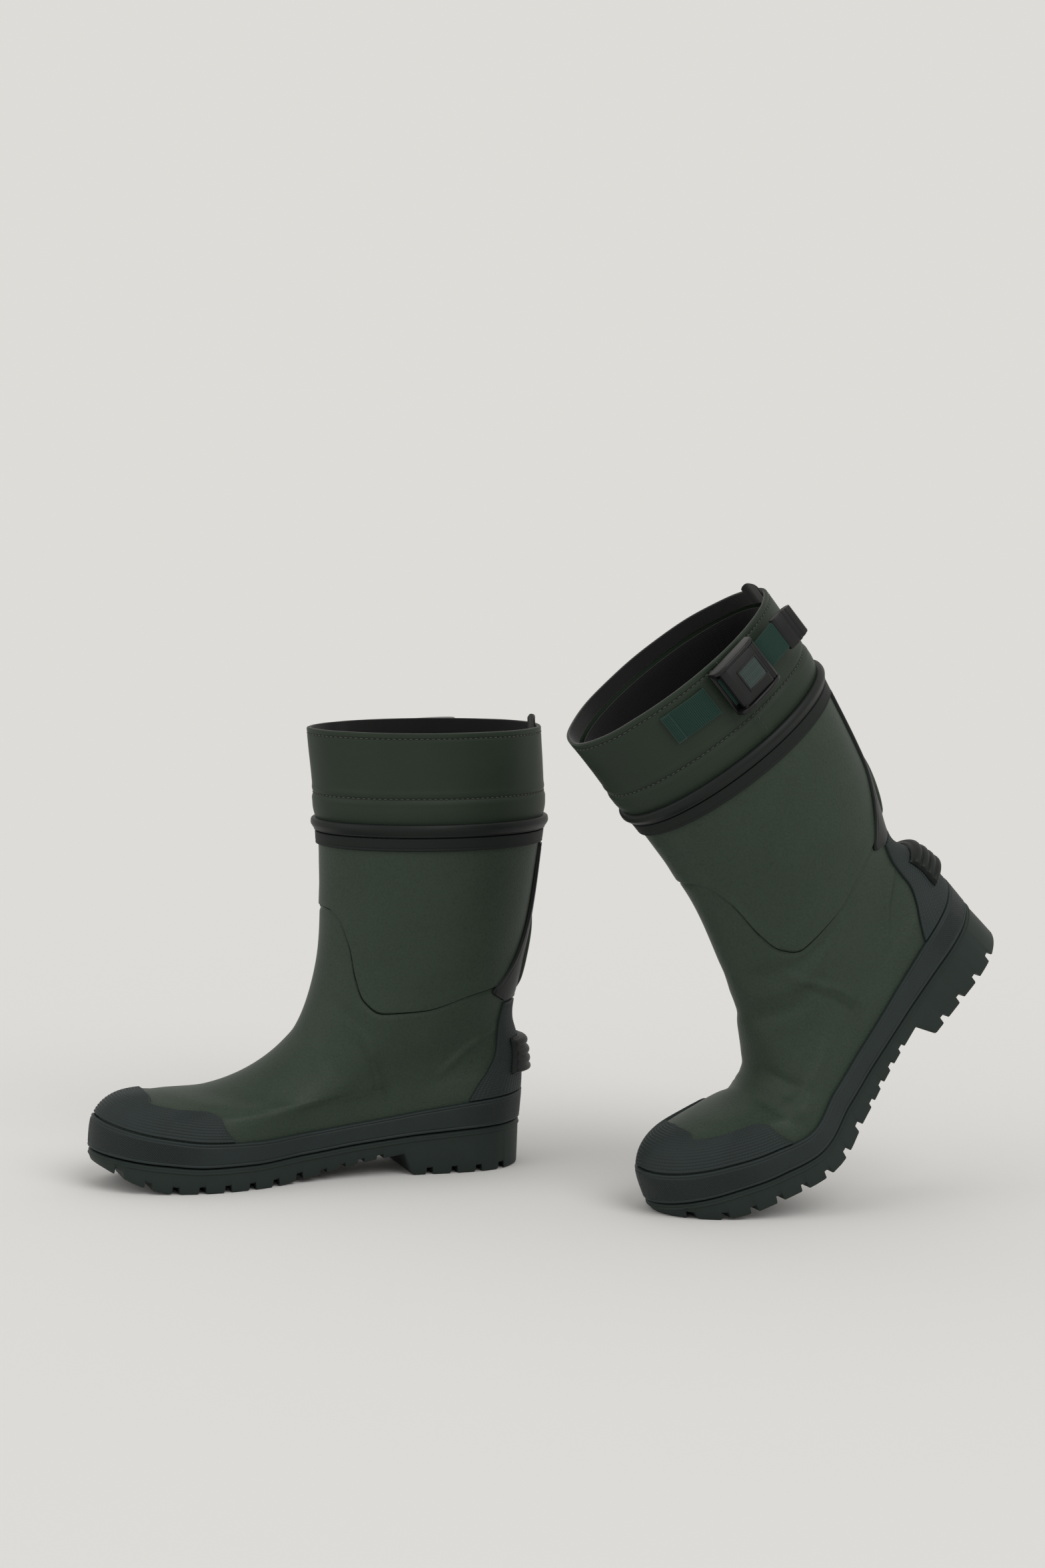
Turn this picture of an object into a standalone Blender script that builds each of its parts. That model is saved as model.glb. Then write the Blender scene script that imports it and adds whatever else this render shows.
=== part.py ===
"""A pair of insulated rubber hunting boots with a cinch collar.

Each boot is designed flat in its own frame, in millimetres: x points to the lateral side, s runs from
the back of the heel to the toe, z is up from the floor.  The right boot stands flat.  The left boot is
rolled onto its toe, bent at the ball of the foot and a little at the ankle, as in a step.  In the world
the toes point to -Y, the wearer's left is +X, +Z is up, and lengths are metres.
"""
import math

import bmesh
import bpy
import numpy as np
from mathutils import Matrix, Vector

MM = 0.001
COLLECTION = "insulated_hunting_boots"
UPPER_COLUMNS, COLLAR_COLUMNS = 32, 24

# Stance: where each boot stands on the floor, in world millimetres.
RIGHT_HEEL_BACK = (-89.9, 8.6)
LEFT_ROLL_POINT = (88.1, 90.6)
LEFT_TOE_OUT = math.radians(4.0)
TOE_ROLL = math.radians(25.0)
BALL_BEND = math.radians(22.0)
ANKLE_BEND = math.radians(10.0)
ROLL_S = 251.53
BALL_S, BALL_Z = 192.0, 10.0
BEND_START_S, BEND_END_S = 150.0, 216.0
ANKLE_S, ANKLE_Z = 62.0, 92.0
ANKLE_LOW_Z, ANKLE_HIGH_Z = 66.0, 168.0

# Layers of the upper, measured outward from its skin.
SHELL_THICKNESS = 2.0
GAP = 0.3
LAYER_GAP = 1.0
SOLE_GAP = 0.7
STIFFENER_OUT, STIFFENER_THICKNESS = -3.6, 0.9
LINING_THICKNESS = 2.5
LINING_OUT = STIFFENER_OUT - STIFFENER_THICKNESS - 1.0
LINING_IN = LINING_OUT - LINING_THICKNESS
FOXING_THICKNESS = 1.6
OVERLAY_THICKNESS = 1.3

# Heights.
RIM_Z = 295.0
COLLAR_BOTTOM_Z = 236.2
BEAD_Z = (227.0, 235.8)
BEAD_LIFTS = (1.4, 3.0, 1.6)
BAND_Z = (218.0, 226.6)
BAND_THICKNESS = 0.9
HEM_HEIGHT = 10.0
TAB_Z = (286.0, 301.5)
HEEL_BREAST_S = 77.0
LUG_DEPTH = 4.5
SOLE_PROUD = 2.0
SHANK_S, SHANK_HALF_WIDTH = (48.0, 146.0), 11.0

# Rings of the upper, from the sole edge to above the rim:
# front s, front z, back s, back z, half width, share of foot shape, dip of the sides.
RINGS = (
    (287.0, None, -2.5, None, 46.5, 1.00, 0.0),
    (284.0, None, -4.0, None, 48.0, 1.00, 0.0),
    (271.0, 57.5, -4.5, 61.0, 46.5, 0.90, 14.0),
    (245.0, 60.5, -4.5, 70.0, 43.5, 0.70, 13.0),
    (213.0, 61.5, -3.5, 80.0, 41.0, 0.50, 11.0),
    (184.0, 70.0, 0.0, 90.0, 40.0, 0.35, 8.0),
    (160.0, 85.0, 2.5, 100.0, 41.5, 0.20, 4.0),
    (145.0, 104.0, 1.5, 113.0, 44.0, 0.10, 1.0),
    (134.5, 140.0, -5.0, 140.0, 48.0, 0.0, 0.0),
    (132.0, 180.0, -12.0, 180.0, 51.0, 0.0, 0.0),
    (133.5, 225.0, -17.5, 225.0, 53.0, 0.0, 0.0),
    (136.0, 240.0, -19.5, 240.0, 53.5, 0.0, 0.0),
    (138.0, 270.0, -19.5, 270.0, 53.0, 0.0, 0.0),
    (140.0, 295.0, -18.5, 295.0, 52.5, 0.0, 0.0),
    (141.0, 310.0, -18.0, 310.0, 52.5, 0.0, 0.0),
)
TOE_SWING = 8.0

# Foot outline: factor on an ellipse, by degrees round from the toe, on the lateral and medial side.
LATERAL_SHAPE = ((0, 1.5), (20, 1.44), (34, 1.35), (46, 1.24), (58, 1.18), (70, 1.09), (86, 0.88),
                 (98, 0.80), (115, 0.83), (129, 0.93), (143, 1.13), (154, 1.25), (180, 1.3))
MEDIAL_SHAPE = ((0, 1.5), (20, 1.44), (34, 1.35), (46, 1.24), (58, 1.18), (70, 1.03), (86, 0.76),
                (98, 0.70), (115, 0.76), (129, 0.92), (143, 1.13), (154, 1.25), (180, 1.3))
# Heights along the boot (s, z) of the outsole's top, its ground side and the foxing strip.
SOLE_TOP = ((-6, 31), (40, 29), (77, 26.5), (110, 23.3), (150, 19), (190, 16.5), (220, 16.5),
            (250, 19), (275, 22.5), (300, 27.5))
FOREFOOT_GROUND = ((83, 14.5), (110, 10.5), (145, 4.0), (180, 0.0), (236, 0.0), (250, 1.6), (262, 5.0),
                   (275, 11.0), (287, 17.0), (298, 22.5))
FOXING_HEIGHT = ((0, 22.5), (30, 19), (60, 16.5), (98, 15), (140, 19), (180, 20.5))
# Leg seam height by degrees round from the shin.
LEG_SEAM = ((0, 177), (14, 176), (24, 171), (34, 155), (42, 134), (52, 118), (66, 110), (88, 111),
            (116, 120), (150, 126), (180, 127))
# Toe cap edge: ring number by degrees round from the toe.
CAP_EDGE = ((0, 2.75), (14, 2.62), (26, 2.25), (36, 2.3), (46, 2.45), (54, 2.15), (60, 1.5),
            (64, 1.08))
CAP_HALF_ANGLE, PUFF_HALF_ANGLE = 64.0, 48.0
# Half angle of the dark pieces at the back, by height.
COUNTER_Z = (52.5, 112.0)
COUNTER_HALF_ANGLE = ((52.5, 46), (70, 41), (90, 37), (112, 34))
STAY_HALF_ANGLE = ((113.5, 36), (121, 50), (127, 46), (145, 33), (170, 23), (217, 19))
PATCH_HALF_ANGLE = ((118, 2), (128, 13), (140, 17), (155, 11), (168, 2))

# Ground-side grooves: groove centres along the boot, and half width of a groove.
HEEL_GROOVES = (15.0, 32.0, 49.0, 66.0)
WAIST_GROOVES = (100.0, 113.0, 126.0, 139.0)
FOREFOOT_GROOVES = (156.0, 173.0, 190.0, 207.0, 224.0, 241.0, 258.0, 275.0)
GROOVE_HALF = 2.2

# Cinch strap and cam buckle on the lateral side of the collar.
STRAP_WIDTH, STRAP_THICKNESS = 20.0, 1.4
STRAP_Z = 277.0
STRAP_START_ANGLE, BUCKLE_ANGLE = 62.0, 103.0
ANCHOR_HALF_ANGLE, ANCHOR_HALF_HEIGHT = 9.0, 8.0
BUCKLE_LENGTH, BUCKLE_HEIGHT, BUCKLE_DEPTH = 36.0, 33.0, 12.0
CHEEK, BASE_THICKNESS = 2.8, 1.6
BUCKLE_LIFT = 3.2
PIN_RADIUS, PIN_CLEARANCE = 1.4, 0.3
PIN_A, PIN_HEIGHT = -12.5, 7.2
LEVER_THICKNESS, LEVER_HEEL = 6.4, 2.4
TAIL_LENGTH, TIP_LENGTH = 64.0, 17.0


def curve_through(keys):
    """A smooth curve y(x) through the keys that never overshoots them."""
    xs, ys = np.array(keys, float).T
    step = np.diff(xs)
    slope = np.diff(ys) / step
    tangent = np.concatenate((slope[:1], np.zeros(len(xs) - 2), slope[-1:]))
    same = slope[:-1] * slope[1:] > 0
    tangent[1:-1][same] = 2 * slope[:-1][same] * slope[1:][same] / (slope[:-1] + slope[1:])[same]

    def value(x):
        x = np.clip(np.asarray(x, float), xs[0], xs[-1])
        i = np.clip(np.searchsorted(xs, x, side="right") - 1, 0, len(xs) - 2)
        t = (x - xs[i]) / step[i]
        rise = t * t * (3 - 2 * t)
        return (ys[i] * (1 - rise) + ys[i + 1] * rise
                + step[i] * t * (1 - t) * (tangent[i] * (1 - t) - tangent[i + 1] * t))

    return value


def smoothstep(x, low, high):
    """0 below low, 1 above high, smooth between."""
    t = np.clip((np.asarray(x, float) - low) / (high - low), 0, 1)
    return t * t * (3 - 2 * t)


lateral_shape, medial_shape = curve_through(LATERAL_SHAPE), curve_through(MEDIAL_SHAPE)
sole_top, forefoot_ground = curve_through(SOLE_TOP), curve_through(FOREFOOT_GROUND)
foxing_height, leg_seam = curve_through(FOXING_HEIGHT), curve_through(LEG_SEAM)
cap_edge = curve_through(CAP_EDGE)


def from_toe(theta):
    """Degrees round from the toe, 0 to 180, on either side."""
    turned = np.degrees(theta) % 360
    return np.minimum(turned, 360 - turned)


def ring_points(number, theta):
    """Points of one ring of the upper at the angles theta: x, s, z."""
    front_s, front_z, back_s, back_z, half_width, share, dip = RINGS[number]
    cos, sin = np.cos(theta), np.sin(theta)
    s = (front_s + back_s) / 2 + (front_s - back_s) / 2 * cos
    degrees = from_toe(theta)
    shape = np.where(sin >= 0, lateral_shape(degrees), medial_shape(degrees))
    x = half_width * sin * (1 + (shape - 1) * share)
    x = x - TOE_SWING * smoothstep(s, 120, 290)
    if number == 0:
        z = sole_top(s) + SOLE_GAP
    elif number == 1:
        z = sole_top(s) + foxing_height(degrees)
    else:
        z = front_z + (back_z - front_z) * (1 - cos) / 2 - dip * sin ** 2 * (1 + cos) / 1.3
    return np.stack((x, s, z), axis=-1)


def upper(theta, v):
    """Points on the skin of the upper, at angle theta and ring position v (smooth through the rings)."""
    theta, v = np.broadcast_arrays(np.asarray(theta, float), np.asarray(v, float))
    rings = np.stack([ring_points(number, theta) for number in range(len(RINGS))])
    low = np.clip(np.floor(v).astype(int), 0, len(RINGS) - 2)
    t = (v - low)[..., None]

    def pick(index):
        index = np.clip(index, 0, len(RINGS) - 1)
        return np.take_along_axis(rings, index[None, ..., None], axis=0)[0]

    before, start, end, after = (pick(low + offset) for offset in (-1, 0, 1, 2))
    slope_start, slope_end = (end - before) / 2, (after - start) / 2
    rise = t * t * (3 - 2 * t)
    return start * (1 - rise) + end * rise + t * (1 - t) * (slope_start * (1 - t) - slope_end * t)


def skin(theta, v, lift):
    """Points at a distance lift outward from the skin."""
    theta, v = np.broadcast_arrays(np.asarray(theta, float), np.asarray(v, float))
    d_theta, d_v = 0.02, 0.05
    around = upper(theta + d_theta, v) - upper(theta - d_theta, v)
    up = upper(theta, np.minimum(v + d_v, len(RINGS) - 1)) - upper(theta, np.maximum(v - d_v, 0))
    normal = -np.cross(around, up)
    normal /= np.linalg.norm(normal, axis=-1, keepdims=True)
    return upper(theta, v) + normal * np.asarray(lift, float)[..., None]


def ring_at_height(theta, z):
    """Ring position v at which the skin reaches height z, for each angle."""
    theta = np.asarray(theta, float)
    z = np.broadcast_to(np.asarray(z, float), theta.shape)
    samples = np.linspace(0, len(RINGS) - 1, 160)
    return np.array([np.interp(height, upper(angle, samples)[:, 2], samples)
                     for angle, height in zip(theta.ravel(), z.ravel())]).reshape(theta.shape)


def turn(points, s, z, angle):
    """Turn points about the lateral line through (s, z); a positive angle raises the heel side."""
    ds, dz = points[..., 1] - s, points[..., 2] - z
    cos, sin = np.cos(angle), np.sin(angle)
    return np.stack((points[..., 0], s + ds * cos + dz * sin, z - ds * sin + dz * cos), axis=-1)


class Boot:
    """One boot: how its flat design goes into the world, and its empties and objects."""

    def __init__(self, name, collection):
        self.name = name
        self.left = name == "left"
        self.collection = collection
        self.empties = {}

    def to_world(self, points):
        """World metres of points given in the flat boot's millimetres."""
        points = np.asarray(points, float)
        if not self.left:
            x = RIGHT_HEEL_BACK[0] - points[..., 0]
            y = RIGHT_HEEL_BACK[1] - points[..., 1]
            return np.stack((x, y, points[..., 2]), axis=-1) * MM
        flat_s, flat_z = points[..., 1], points[..., 2]
        points = turn(points, ANKLE_S, ANKLE_Z, -ANKLE_BEND * smoothstep(flat_z, ANKLE_LOW_Z, ANKLE_HIGH_Z)
                      * (1 - smoothstep(flat_s, BEND_START_S, BEND_END_S)))
        points = turn(points, BALL_S, BALL_Z, BALL_BEND * (1 - smoothstep(flat_s, BEND_START_S, BEND_END_S)))
        points = turn(points, ROLL_S, 0.0, TOE_ROLL)
        ahead, across = points[..., 1] - ROLL_S, points[..., 0]
        x = LEFT_ROLL_POINT[0] + ahead * math.sin(LEFT_TOE_OUT) + across * math.cos(LEFT_TOE_OUT)
        y = LEFT_ROLL_POINT[1] - ahead * math.cos(LEFT_TOE_OUT) + across * math.sin(LEFT_TOE_OUT)
        return np.stack((x, y, points[..., 2]), axis=-1) * MM

    def add_empty(self, name, matrix):
        """An empty on a joint axis or at a mounting place, which pieces are parented to."""
        empty = bpy.data.objects.new(f"{self.name}_{name}", None)
        empty.matrix_world = matrix
        empty.empty_display_size = 0.02
        self.collection.objects.link(empty)
        self.empties[name] = empty

    def add_piece(self, name, mesh, look, parent, matrix=None):
        """Make the named object of one piece, with its material, under its empty."""
        piece = bpy.data.objects.new(f"{self.name}_{name}", mesh)
        self.collection.objects.link(piece)
        mesh.materials.append(material(f"{self.name}_{name}", *look))
        holder = self.empties[parent]
        piece.parent = holder
        if matrix is None:
            mesh.transform(holder.matrix_world.inverted())
        else:
            piece.matrix_local = matrix
        return piece


# Looks: colour (linear RGB), roughness, metallic.
GREEN_RUBBER = ((0.030, 0.042, 0.031), 0.55, 0.0)
COLLAR_CLOTH = ((0.022, 0.032, 0.021), 0.6, 0.0)
BLUE_BLACK_RUBBER = ((0.022, 0.028, 0.028), 0.6, 0.0)
SOLE_RUBBER = ((0.020, 0.030, 0.027), 0.6, 0.0)
BLACK_RUBBER = ((0.012, 0.014, 0.013), 0.6, 0.0)
PATCH_RUBBER = ((0.045, 0.060, 0.048), 0.45, 0.0)
BLACK_CLOTH = ((0.010, 0.010, 0.011), 0.9, 0.0)
LINING_CLOTH = ((0.015, 0.015, 0.016), 0.95, 0.0)
FOAM = ((0.12, 0.12, 0.11), 0.9, 0.0)
BOARD = ((0.35, 0.26, 0.17), 0.85, 0.0)
STEEL = ((0.55, 0.55, 0.57), 0.35, 1.0)
WEBBING = ((0.010, 0.036, 0.028), 0.85, 0.0)
BLACK_PLASTIC = ((0.012, 0.012, 0.013), 0.4, 0.0)
WINDOW_PLASTIC = ((0.05, 0.07, 0.06), 0.25, 0.0)


def material(name, colour, roughness, metallic):
    """A plain material of one look."""
    made = bpy.data.materials.new(name)
    made.use_nodes = True
    shader = made.node_tree.nodes["Principled BSDF"]
    shader.inputs["Base Color"].default_value = (*colour, 1.0)
    shader.inputs["Roughness"].default_value = roughness
    shader.inputs["Metallic"].default_value = metallic
    made.diffuse_color = (*colour, 1.0)
    return made


def thick_sheet(name, outer, inner, ring):
    """A closed mesh between two grids of points; the first direction closes on itself for a ring."""
    rows, columns = outer.shape[:2]
    points = np.concatenate((outer.reshape(-1, 3), inner.reshape(-1, 3)))
    half = rows * columns
    faces = []
    for i in range(rows if ring else rows - 1):
        here, there = i * columns, (i + 1) % rows * columns
        for j in range(columns - 1):
            quad = (here + j, there + j, there + j + 1, here + j + 1)
            faces.append(quad)
            faces.append(tuple(half + corner for corner in reversed(quad)))
        for j in (0, columns - 1):
            faces.append((here + j, half + here + j, half + there + j, there + j))
    if not ring:
        for start in (0, half - columns):
            for j in range(columns - 1):
                a, b = start + j, start + j + 1
                faces.append((a, b, half + b, half + a))
    mesh = bpy.data.meshes.new(name)
    mesh.from_pydata([tuple(point) for point in points], [], faces)
    work = bmesh.new()
    work.from_mesh(mesh)
    bmesh.ops.triangulate(work, faces=[face for face in work.faces if len(face.verts) > 3])
    bmesh.ops.recalc_face_normals(work, faces=work.faces)
    work.to_mesh(mesh)
    work.free()
    mesh.shade_smooth()
    mesh.set_sharp_from_angle(angle=math.radians(40))
    return mesh


def shell(boot, name, look, parent, theta, v, lift_out, lift_in, ring):
    """A piece that follows the upper between two lifts, over a grid of angles and ring positions."""
    outer = boot.to_world(skin(theta, v, np.broadcast_to(lift_out, theta.shape)))
    inner = boot.to_world(skin(theta, v, np.broadcast_to(lift_in, theta.shape)))
    return boot.add_piece(name, thick_sheet(f"{boot.name}_{name}", outer, inner, ring), look, parent)


def round_angles(count):
    """Evenly spaced angles of a whole turn."""
    return np.arange(count) * 2 * math.pi / count


def band(low, high, rows, crowding=1.0):
    """Grid of values from low to high (each an array over the angles), crowded towards low."""
    share = np.linspace(0, 1, rows) ** crowding
    return low[:, None] * (1 - share) + high[:, None] * share


def ring_shell(boot, name, look, parent, columns, low, high, rows, lift_out, lift_in, crowding=1.0):
    """A shell all the way round, from ring position low(theta) to high(theta)."""
    angles = round_angles(columns)
    v = band(low(angles), high(angles), rows, crowding)
    theta = np.repeat(angles[:, None], rows, axis=1)
    return shell(boot, name, look, parent, theta, v, lift_out, lift_in, True)


def height(z):
    """Ring positions of a level line at height z."""
    return lambda theta: ring_at_height(theta, np.full(np.shape(theta), float(z)))


def ring_number(v):
    """Ring positions of the line that stays on ring v."""
    return lambda theta: np.full(np.shape(theta), float(v))


def seam_line(shift):
    """Ring positions of the leg seam, shifted up by some millimetres."""
    return lambda theta: ring_at_height(theta, leg_seam(from_toe(theta)) + shift)


def back_piece(boot, name, look, half_angle_keys, rows, columns, lift_out, lift_in, parent="heel"):
    """A piece centred on the back, whose half angle follows its height."""
    keys = np.array(half_angle_keys, float)
    half_angle = np.radians(curve_through(half_angle_keys)(np.linspace(keys[0, 0], keys[-1, 0], rows)))
    heights = np.linspace(keys[0, 0], keys[-1, 0], rows)
    share = np.linspace(-1, 1, columns)
    theta = math.pi + half_angle[:, None] * share
    v = ring_at_height(theta, np.repeat(heights[:, None], columns, axis=1))
    return shell(boot, name, look, parent, theta, v, lift_out, lift_in, False)


def sole_edge(s, lateral, lift):
    """Half width of the sole edge at s on one side, widened by lift."""
    theta = np.linspace(0, math.pi, 181) * (1 if lateral else -1)
    edge = skin(theta, np.full(theta.shape, 0.02), np.full(theta.shape, lift))
    order = np.argsort(edge[:, 1])
    return np.interp(s, edge[order, 1], edge[order, 0])


def plank(boot, name, look, parent, stations, lift_top, lift_bottom, top_z, bottom_z, across=2):
    """A layer of the sole: its stations run along s, its edges follow the sole edge."""
    stations = np.asarray(stations, float)
    share = np.linspace(0, 1, across)

    def side(lift, z):
        low, high = sole_edge(stations, False, lift), sole_edge(stations, True, lift)
        x = low[:, None] * (1 - share) + high[:, None] * share
        return np.stack((x, np.repeat(stations[:, None], across, axis=1),
                         np.repeat(z[:, None], across, axis=1)), axis=-1)

    outer, inner = side(lift_top, top_z), side(lift_bottom, bottom_z)
    mesh = thick_sheet(f"{boot.name}_{name}", boot.to_world(outer), boot.to_world(inner), False)
    return boot.add_piece(name, mesh, look, parent)


def layer_stations(start, end):
    """Stations along s for a layer: close together at both rounded ends, even between."""
    ends = np.array([0.0, 1.5, 5.0, 11.0])
    return np.concatenate((start + ends, np.linspace(start + 22, end - 22, 19), end - ends[::-1]))


def make_outsole(boot):
    """Heel block with a slanted breast, waist and forefoot, grooved across."""
    ends = np.concatenate((np.linspace(-4.3, 8, 5), np.array([285, 289, 292.5])))
    plain = np.array([HEEL_BREAST_S, HEEL_BREAST_S + 6.5, 148.0, 181.5])
    grooves = []
    for centre in HEEL_GROOVES + WAIST_GROOVES + FOREFOOT_GROOVES:
        grooves += [(centre - GROOVE_HALF, 0), (centre - GROOVE_HALF + 0.5, 1),
                    (centre + GROOVE_HALF - 0.5, 1), (centre + GROOVE_HALF, 0)]
    stations = sorted([(float(s), 0) for s in np.concatenate((ends, plain))] + grooves)
    s = np.array([station for station, _ in stations])
    cut = np.array([depth for _, depth in stations]) * LUG_DEPTH
    waist_cut = np.where((s > HEEL_BREAST_S + 7) & (s < 148), cut * 0.6, cut)
    ground = np.where(s <= HEEL_BREAST_S, 0.0, forefoot_ground(s)) + waist_cut
    plank(boot, "outsole", SOLE_RUBBER, "forefoot" if boot.left else "heel", s, SOLE_PROUD, 0.5,
          sole_top(s), np.minimum(ground, sole_top(s) - 3.0))


def make_sole_layers(boot):
    """Midsole, steel shank, insole board and footbed, stacked inside the upper."""
    inside = -(SHELL_THICKNESS + 1.6)
    stations = layer_stations(4, 276)
    base = sole_top(stations) + SOLE_GAP
    plank(boot, "midsole", FOAM, "heel", stations, inside, inside, base + 5.0, base)
    plank(boot, "insole_board", BOARD, "heel", stations, inside, inside, base + 8.8, base + 7.2)
    stations = layer_stations(10, 266)
    base = sole_top(stations) + SOLE_GAP
    bed_inset = LINING_IN - 1.6
    plank(boot, "footbed", FOAM, "heel", stations, bed_inset - 1.0, bed_inset, base + 14.0, base + 9.3)
    stations = np.linspace(*SHANK_S, 9)
    base = sole_top(stations) + SOLE_GAP
    centre = (sole_edge(stations, True, 0) + sole_edge(stations, False, 0)) / 2
    x = centre[:, None] + np.array([-SHANK_HALF_WIDTH, SHANK_HALF_WIDTH])
    s = np.repeat(stations[:, None], 2, axis=1)
    outer = np.stack((x, s, np.repeat((base + 6.7)[:, None], 2, axis=1)), axis=-1)
    inner = np.stack((x, s, np.repeat((base + 5.3)[:, None], 2, axis=1)), axis=-1)
    mesh = thick_sheet(f"{boot.name}_shank", boot.to_world(outer), boot.to_world(inner), False)
    boot.add_piece("shank", mesh, STEEL, "heel")


def make_foot(boot):
    """Vamp, foxing strip, toe cap and the stiffeners under the vamp."""
    ring_shell(boot, "vamp", GREEN_RUBBER, "heel", UPPER_COLUMNS, ring_number(0.0), seam_line(-0.4), 12,
               0.0, -SHELL_THICKNESS, 1.2)
    ring_shell(boot, "foxing_strip", BLUE_BLACK_RUBBER, "heel", UPPER_COLUMNS, ring_number(0.02),
               ring_number(1.0), 3, LAYER_GAP + FOXING_THICKNESS, LAYER_GAP)
    angles = np.radians(np.linspace(-CAP_HALF_ANGLE, CAP_HALF_ANGLE, 17))
    v = band(np.full(angles.shape, 1.06), cap_edge(np.degrees(np.abs(angles))), 4)
    theta = np.repeat(angles[:, None], 4, axis=1)
    shell(boot, "toe_cap", BLUE_BLACK_RUBBER, "forefoot", theta, v,
          LAYER_GAP + OVERLAY_THICKNESS, LAYER_GAP, False)
    puff = np.radians(np.linspace(-PUFF_HALF_ANGLE, PUFF_HALF_ANGLE, 11))
    v = band(np.full(puff.shape, 1.2), cap_edge(np.degrees(np.abs(puff))) - 0.1, 4)
    theta = np.repeat(puff[:, None], 4, axis=1)
    shell(boot, "toe_puff", BOARD, "forefoot", theta, v, STIFFENER_OUT, STIFFENER_OUT - STIFFENER_THICKNESS,
          False)


def make_heel(boot):
    """Heel counter, its inner stiffener, the kick spur, the back stay and its lens-shaped patch."""
    angles = np.linspace(-1, 1, 11)
    half_angle = curve_through(COUNTER_HALF_ANGLE)
    rows = np.linspace(0, 1, 5)
    counter_low_z, counter_high_z = COUNTER_Z
    heights = counter_low_z + (counter_high_z - counter_low_z) * rows
    theta = math.pi + np.radians(half_angle(heights))[:, None] * angles
    low = ring_number(1.03)(theta)
    high = ring_at_height(theta, np.full(theta.shape, counter_high_z))
    v = low + (high - low) * rows[:, None]
    shell(boot, "heel_counter", BLUE_BLACK_RUBBER, "heel", theta, v,
          LAYER_GAP + OVERLAY_THICKNESS, LAYER_GAP, False)
    inner_v = low + (high - low) * rows[:, None] * 0.8
    shell(boot, "heel_stiffener", BOARD, "heel", theta, inner_v, STIFFENER_OUT,
          STIFFENER_OUT - STIFFENER_THICKNESS, False)
    back_piece(boot, "back_stay", BLACK_RUBBER, STAY_HALF_ANGLE, 9, 7, LAYER_GAP + 1.1, LAYER_GAP)
    back_piece(boot, "rear_patch", PATCH_RUBBER, PATCH_HALF_ANGLE, 7, 5,
               2 * LAYER_GAP + 2.0, 2 * LAYER_GAP + 1.1)
    make_spur(boot)


def make_spur(boot):
    """A ribbed ledge at the back of the heel for stepping out of the boot."""
    low_z, high_z, ribs = 63.0, 86.0, 4
    base = 2 * LAYER_GAP + OVERLAY_THICKNESS
    profile = [(low_z, base + 1.0)]
    pitch = (high_z - low_z) / ribs
    for rib in range(ribs):
        start = low_z + rib * pitch
        profile += [(start + 0.8, base + 5.0), (start + pitch - 2.2, base + 5.0 - 0.5 * rib),
                    (start + pitch - 1.6, base + 3.2 - 0.5 * rib)]
    profile.append((high_z, base + 0.8))
    heights, lifts = np.array(profile).T
    theta = math.pi + np.radians(np.linspace(-26, 26, 5))
    theta = np.repeat(theta[:, None], len(heights), axis=1)
    taper = 1 - 0.45 * (np.abs(theta - math.pi) / math.radians(26)) ** 3
    v = ring_at_height(theta, np.repeat(heights[None, :], len(theta), axis=0))
    shell(boot, "kick_spur", BLACK_RUBBER, "heel", theta, v, base + (lifts - base) * taper, base, False)


def make_leg(boot):
    """Leg panel, the two bands under the collar, the collar, its hem and the lining."""
    ring_shell(boot, "leg_panel", GREEN_RUBBER, "heel", UPPER_COLUMNS, seam_line(0.4),
               height(COLLAR_BOTTOM_Z - 0.4), 4,
               0.0, -SHELL_THICKNESS)
    ring_shell(boot, "top_bead", BLACK_RUBBER, "heel", COLLAR_COLUMNS, height(BEAD_Z[0]),
               height(BEAD_Z[1]), len(BEAD_LIFTS), LAYER_GAP + np.array(BEAD_LIFTS), LAYER_GAP)
    ring_shell(boot, "under_band", BLACK_RUBBER, "heel", COLLAR_COLUMNS, height(BAND_Z[0]),
               height(BAND_Z[1]), 2, LAYER_GAP + BAND_THICKNESS, LAYER_GAP)
    ring_shell(boot, "collar", COLLAR_CLOTH, "heel", COLLAR_COLUMNS, height(COLLAR_BOTTOM_Z),
               height(RIM_Z), 3, 0.0, -1.3)
    ring_shell(boot, "rim_hem", COLLAR_CLOTH, "heel", COLLAR_COLUMNS, height(RIM_Z - HEM_HEIGHT),
               height(RIM_Z), 2, -1.3 - GAP, -2.8)

    def lining_low(theta):
        """Ring positions just above the insole board."""
        s = upper(theta, np.full(theta.shape, 0.5))[..., 1]
        return ring_at_height(theta, sole_top(s) + SOLE_GAP + 9.6)

    ring_shell(boot, "lining", LINING_CLOTH, "heel", UPPER_COLUMNS, lining_low,
               height(RIM_Z - HEM_HEIGHT - 1.0), 12, LINING_OUT, LINING_IN, 1.1)
    theta = math.pi + np.radians(np.linspace(-12, 12, 4))
    theta = np.repeat(theta[:, None], 3, axis=1)
    v = ring_at_height(theta, np.repeat(np.linspace(*TAB_Z, 3)[None, :], 4, axis=0))
    shell(boot, "label_tab", BLACK_CLOTH, "heel", theta, v, -3.4, -4.6, False)


def box(name, size, centre):
    """A box mesh of the given size, in millimetres about its centre."""
    work = bmesh.new()
    scale = Matrix.Diagonal((*[length * MM for length in size], 1))
    bmesh.ops.create_cube(work, size=1, matrix=Matrix.Translation(Vector(centre) * MM) @ scale)
    mesh = bpy.data.meshes.new(name)
    work.to_mesh(mesh)
    work.free()
    return mesh


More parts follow.
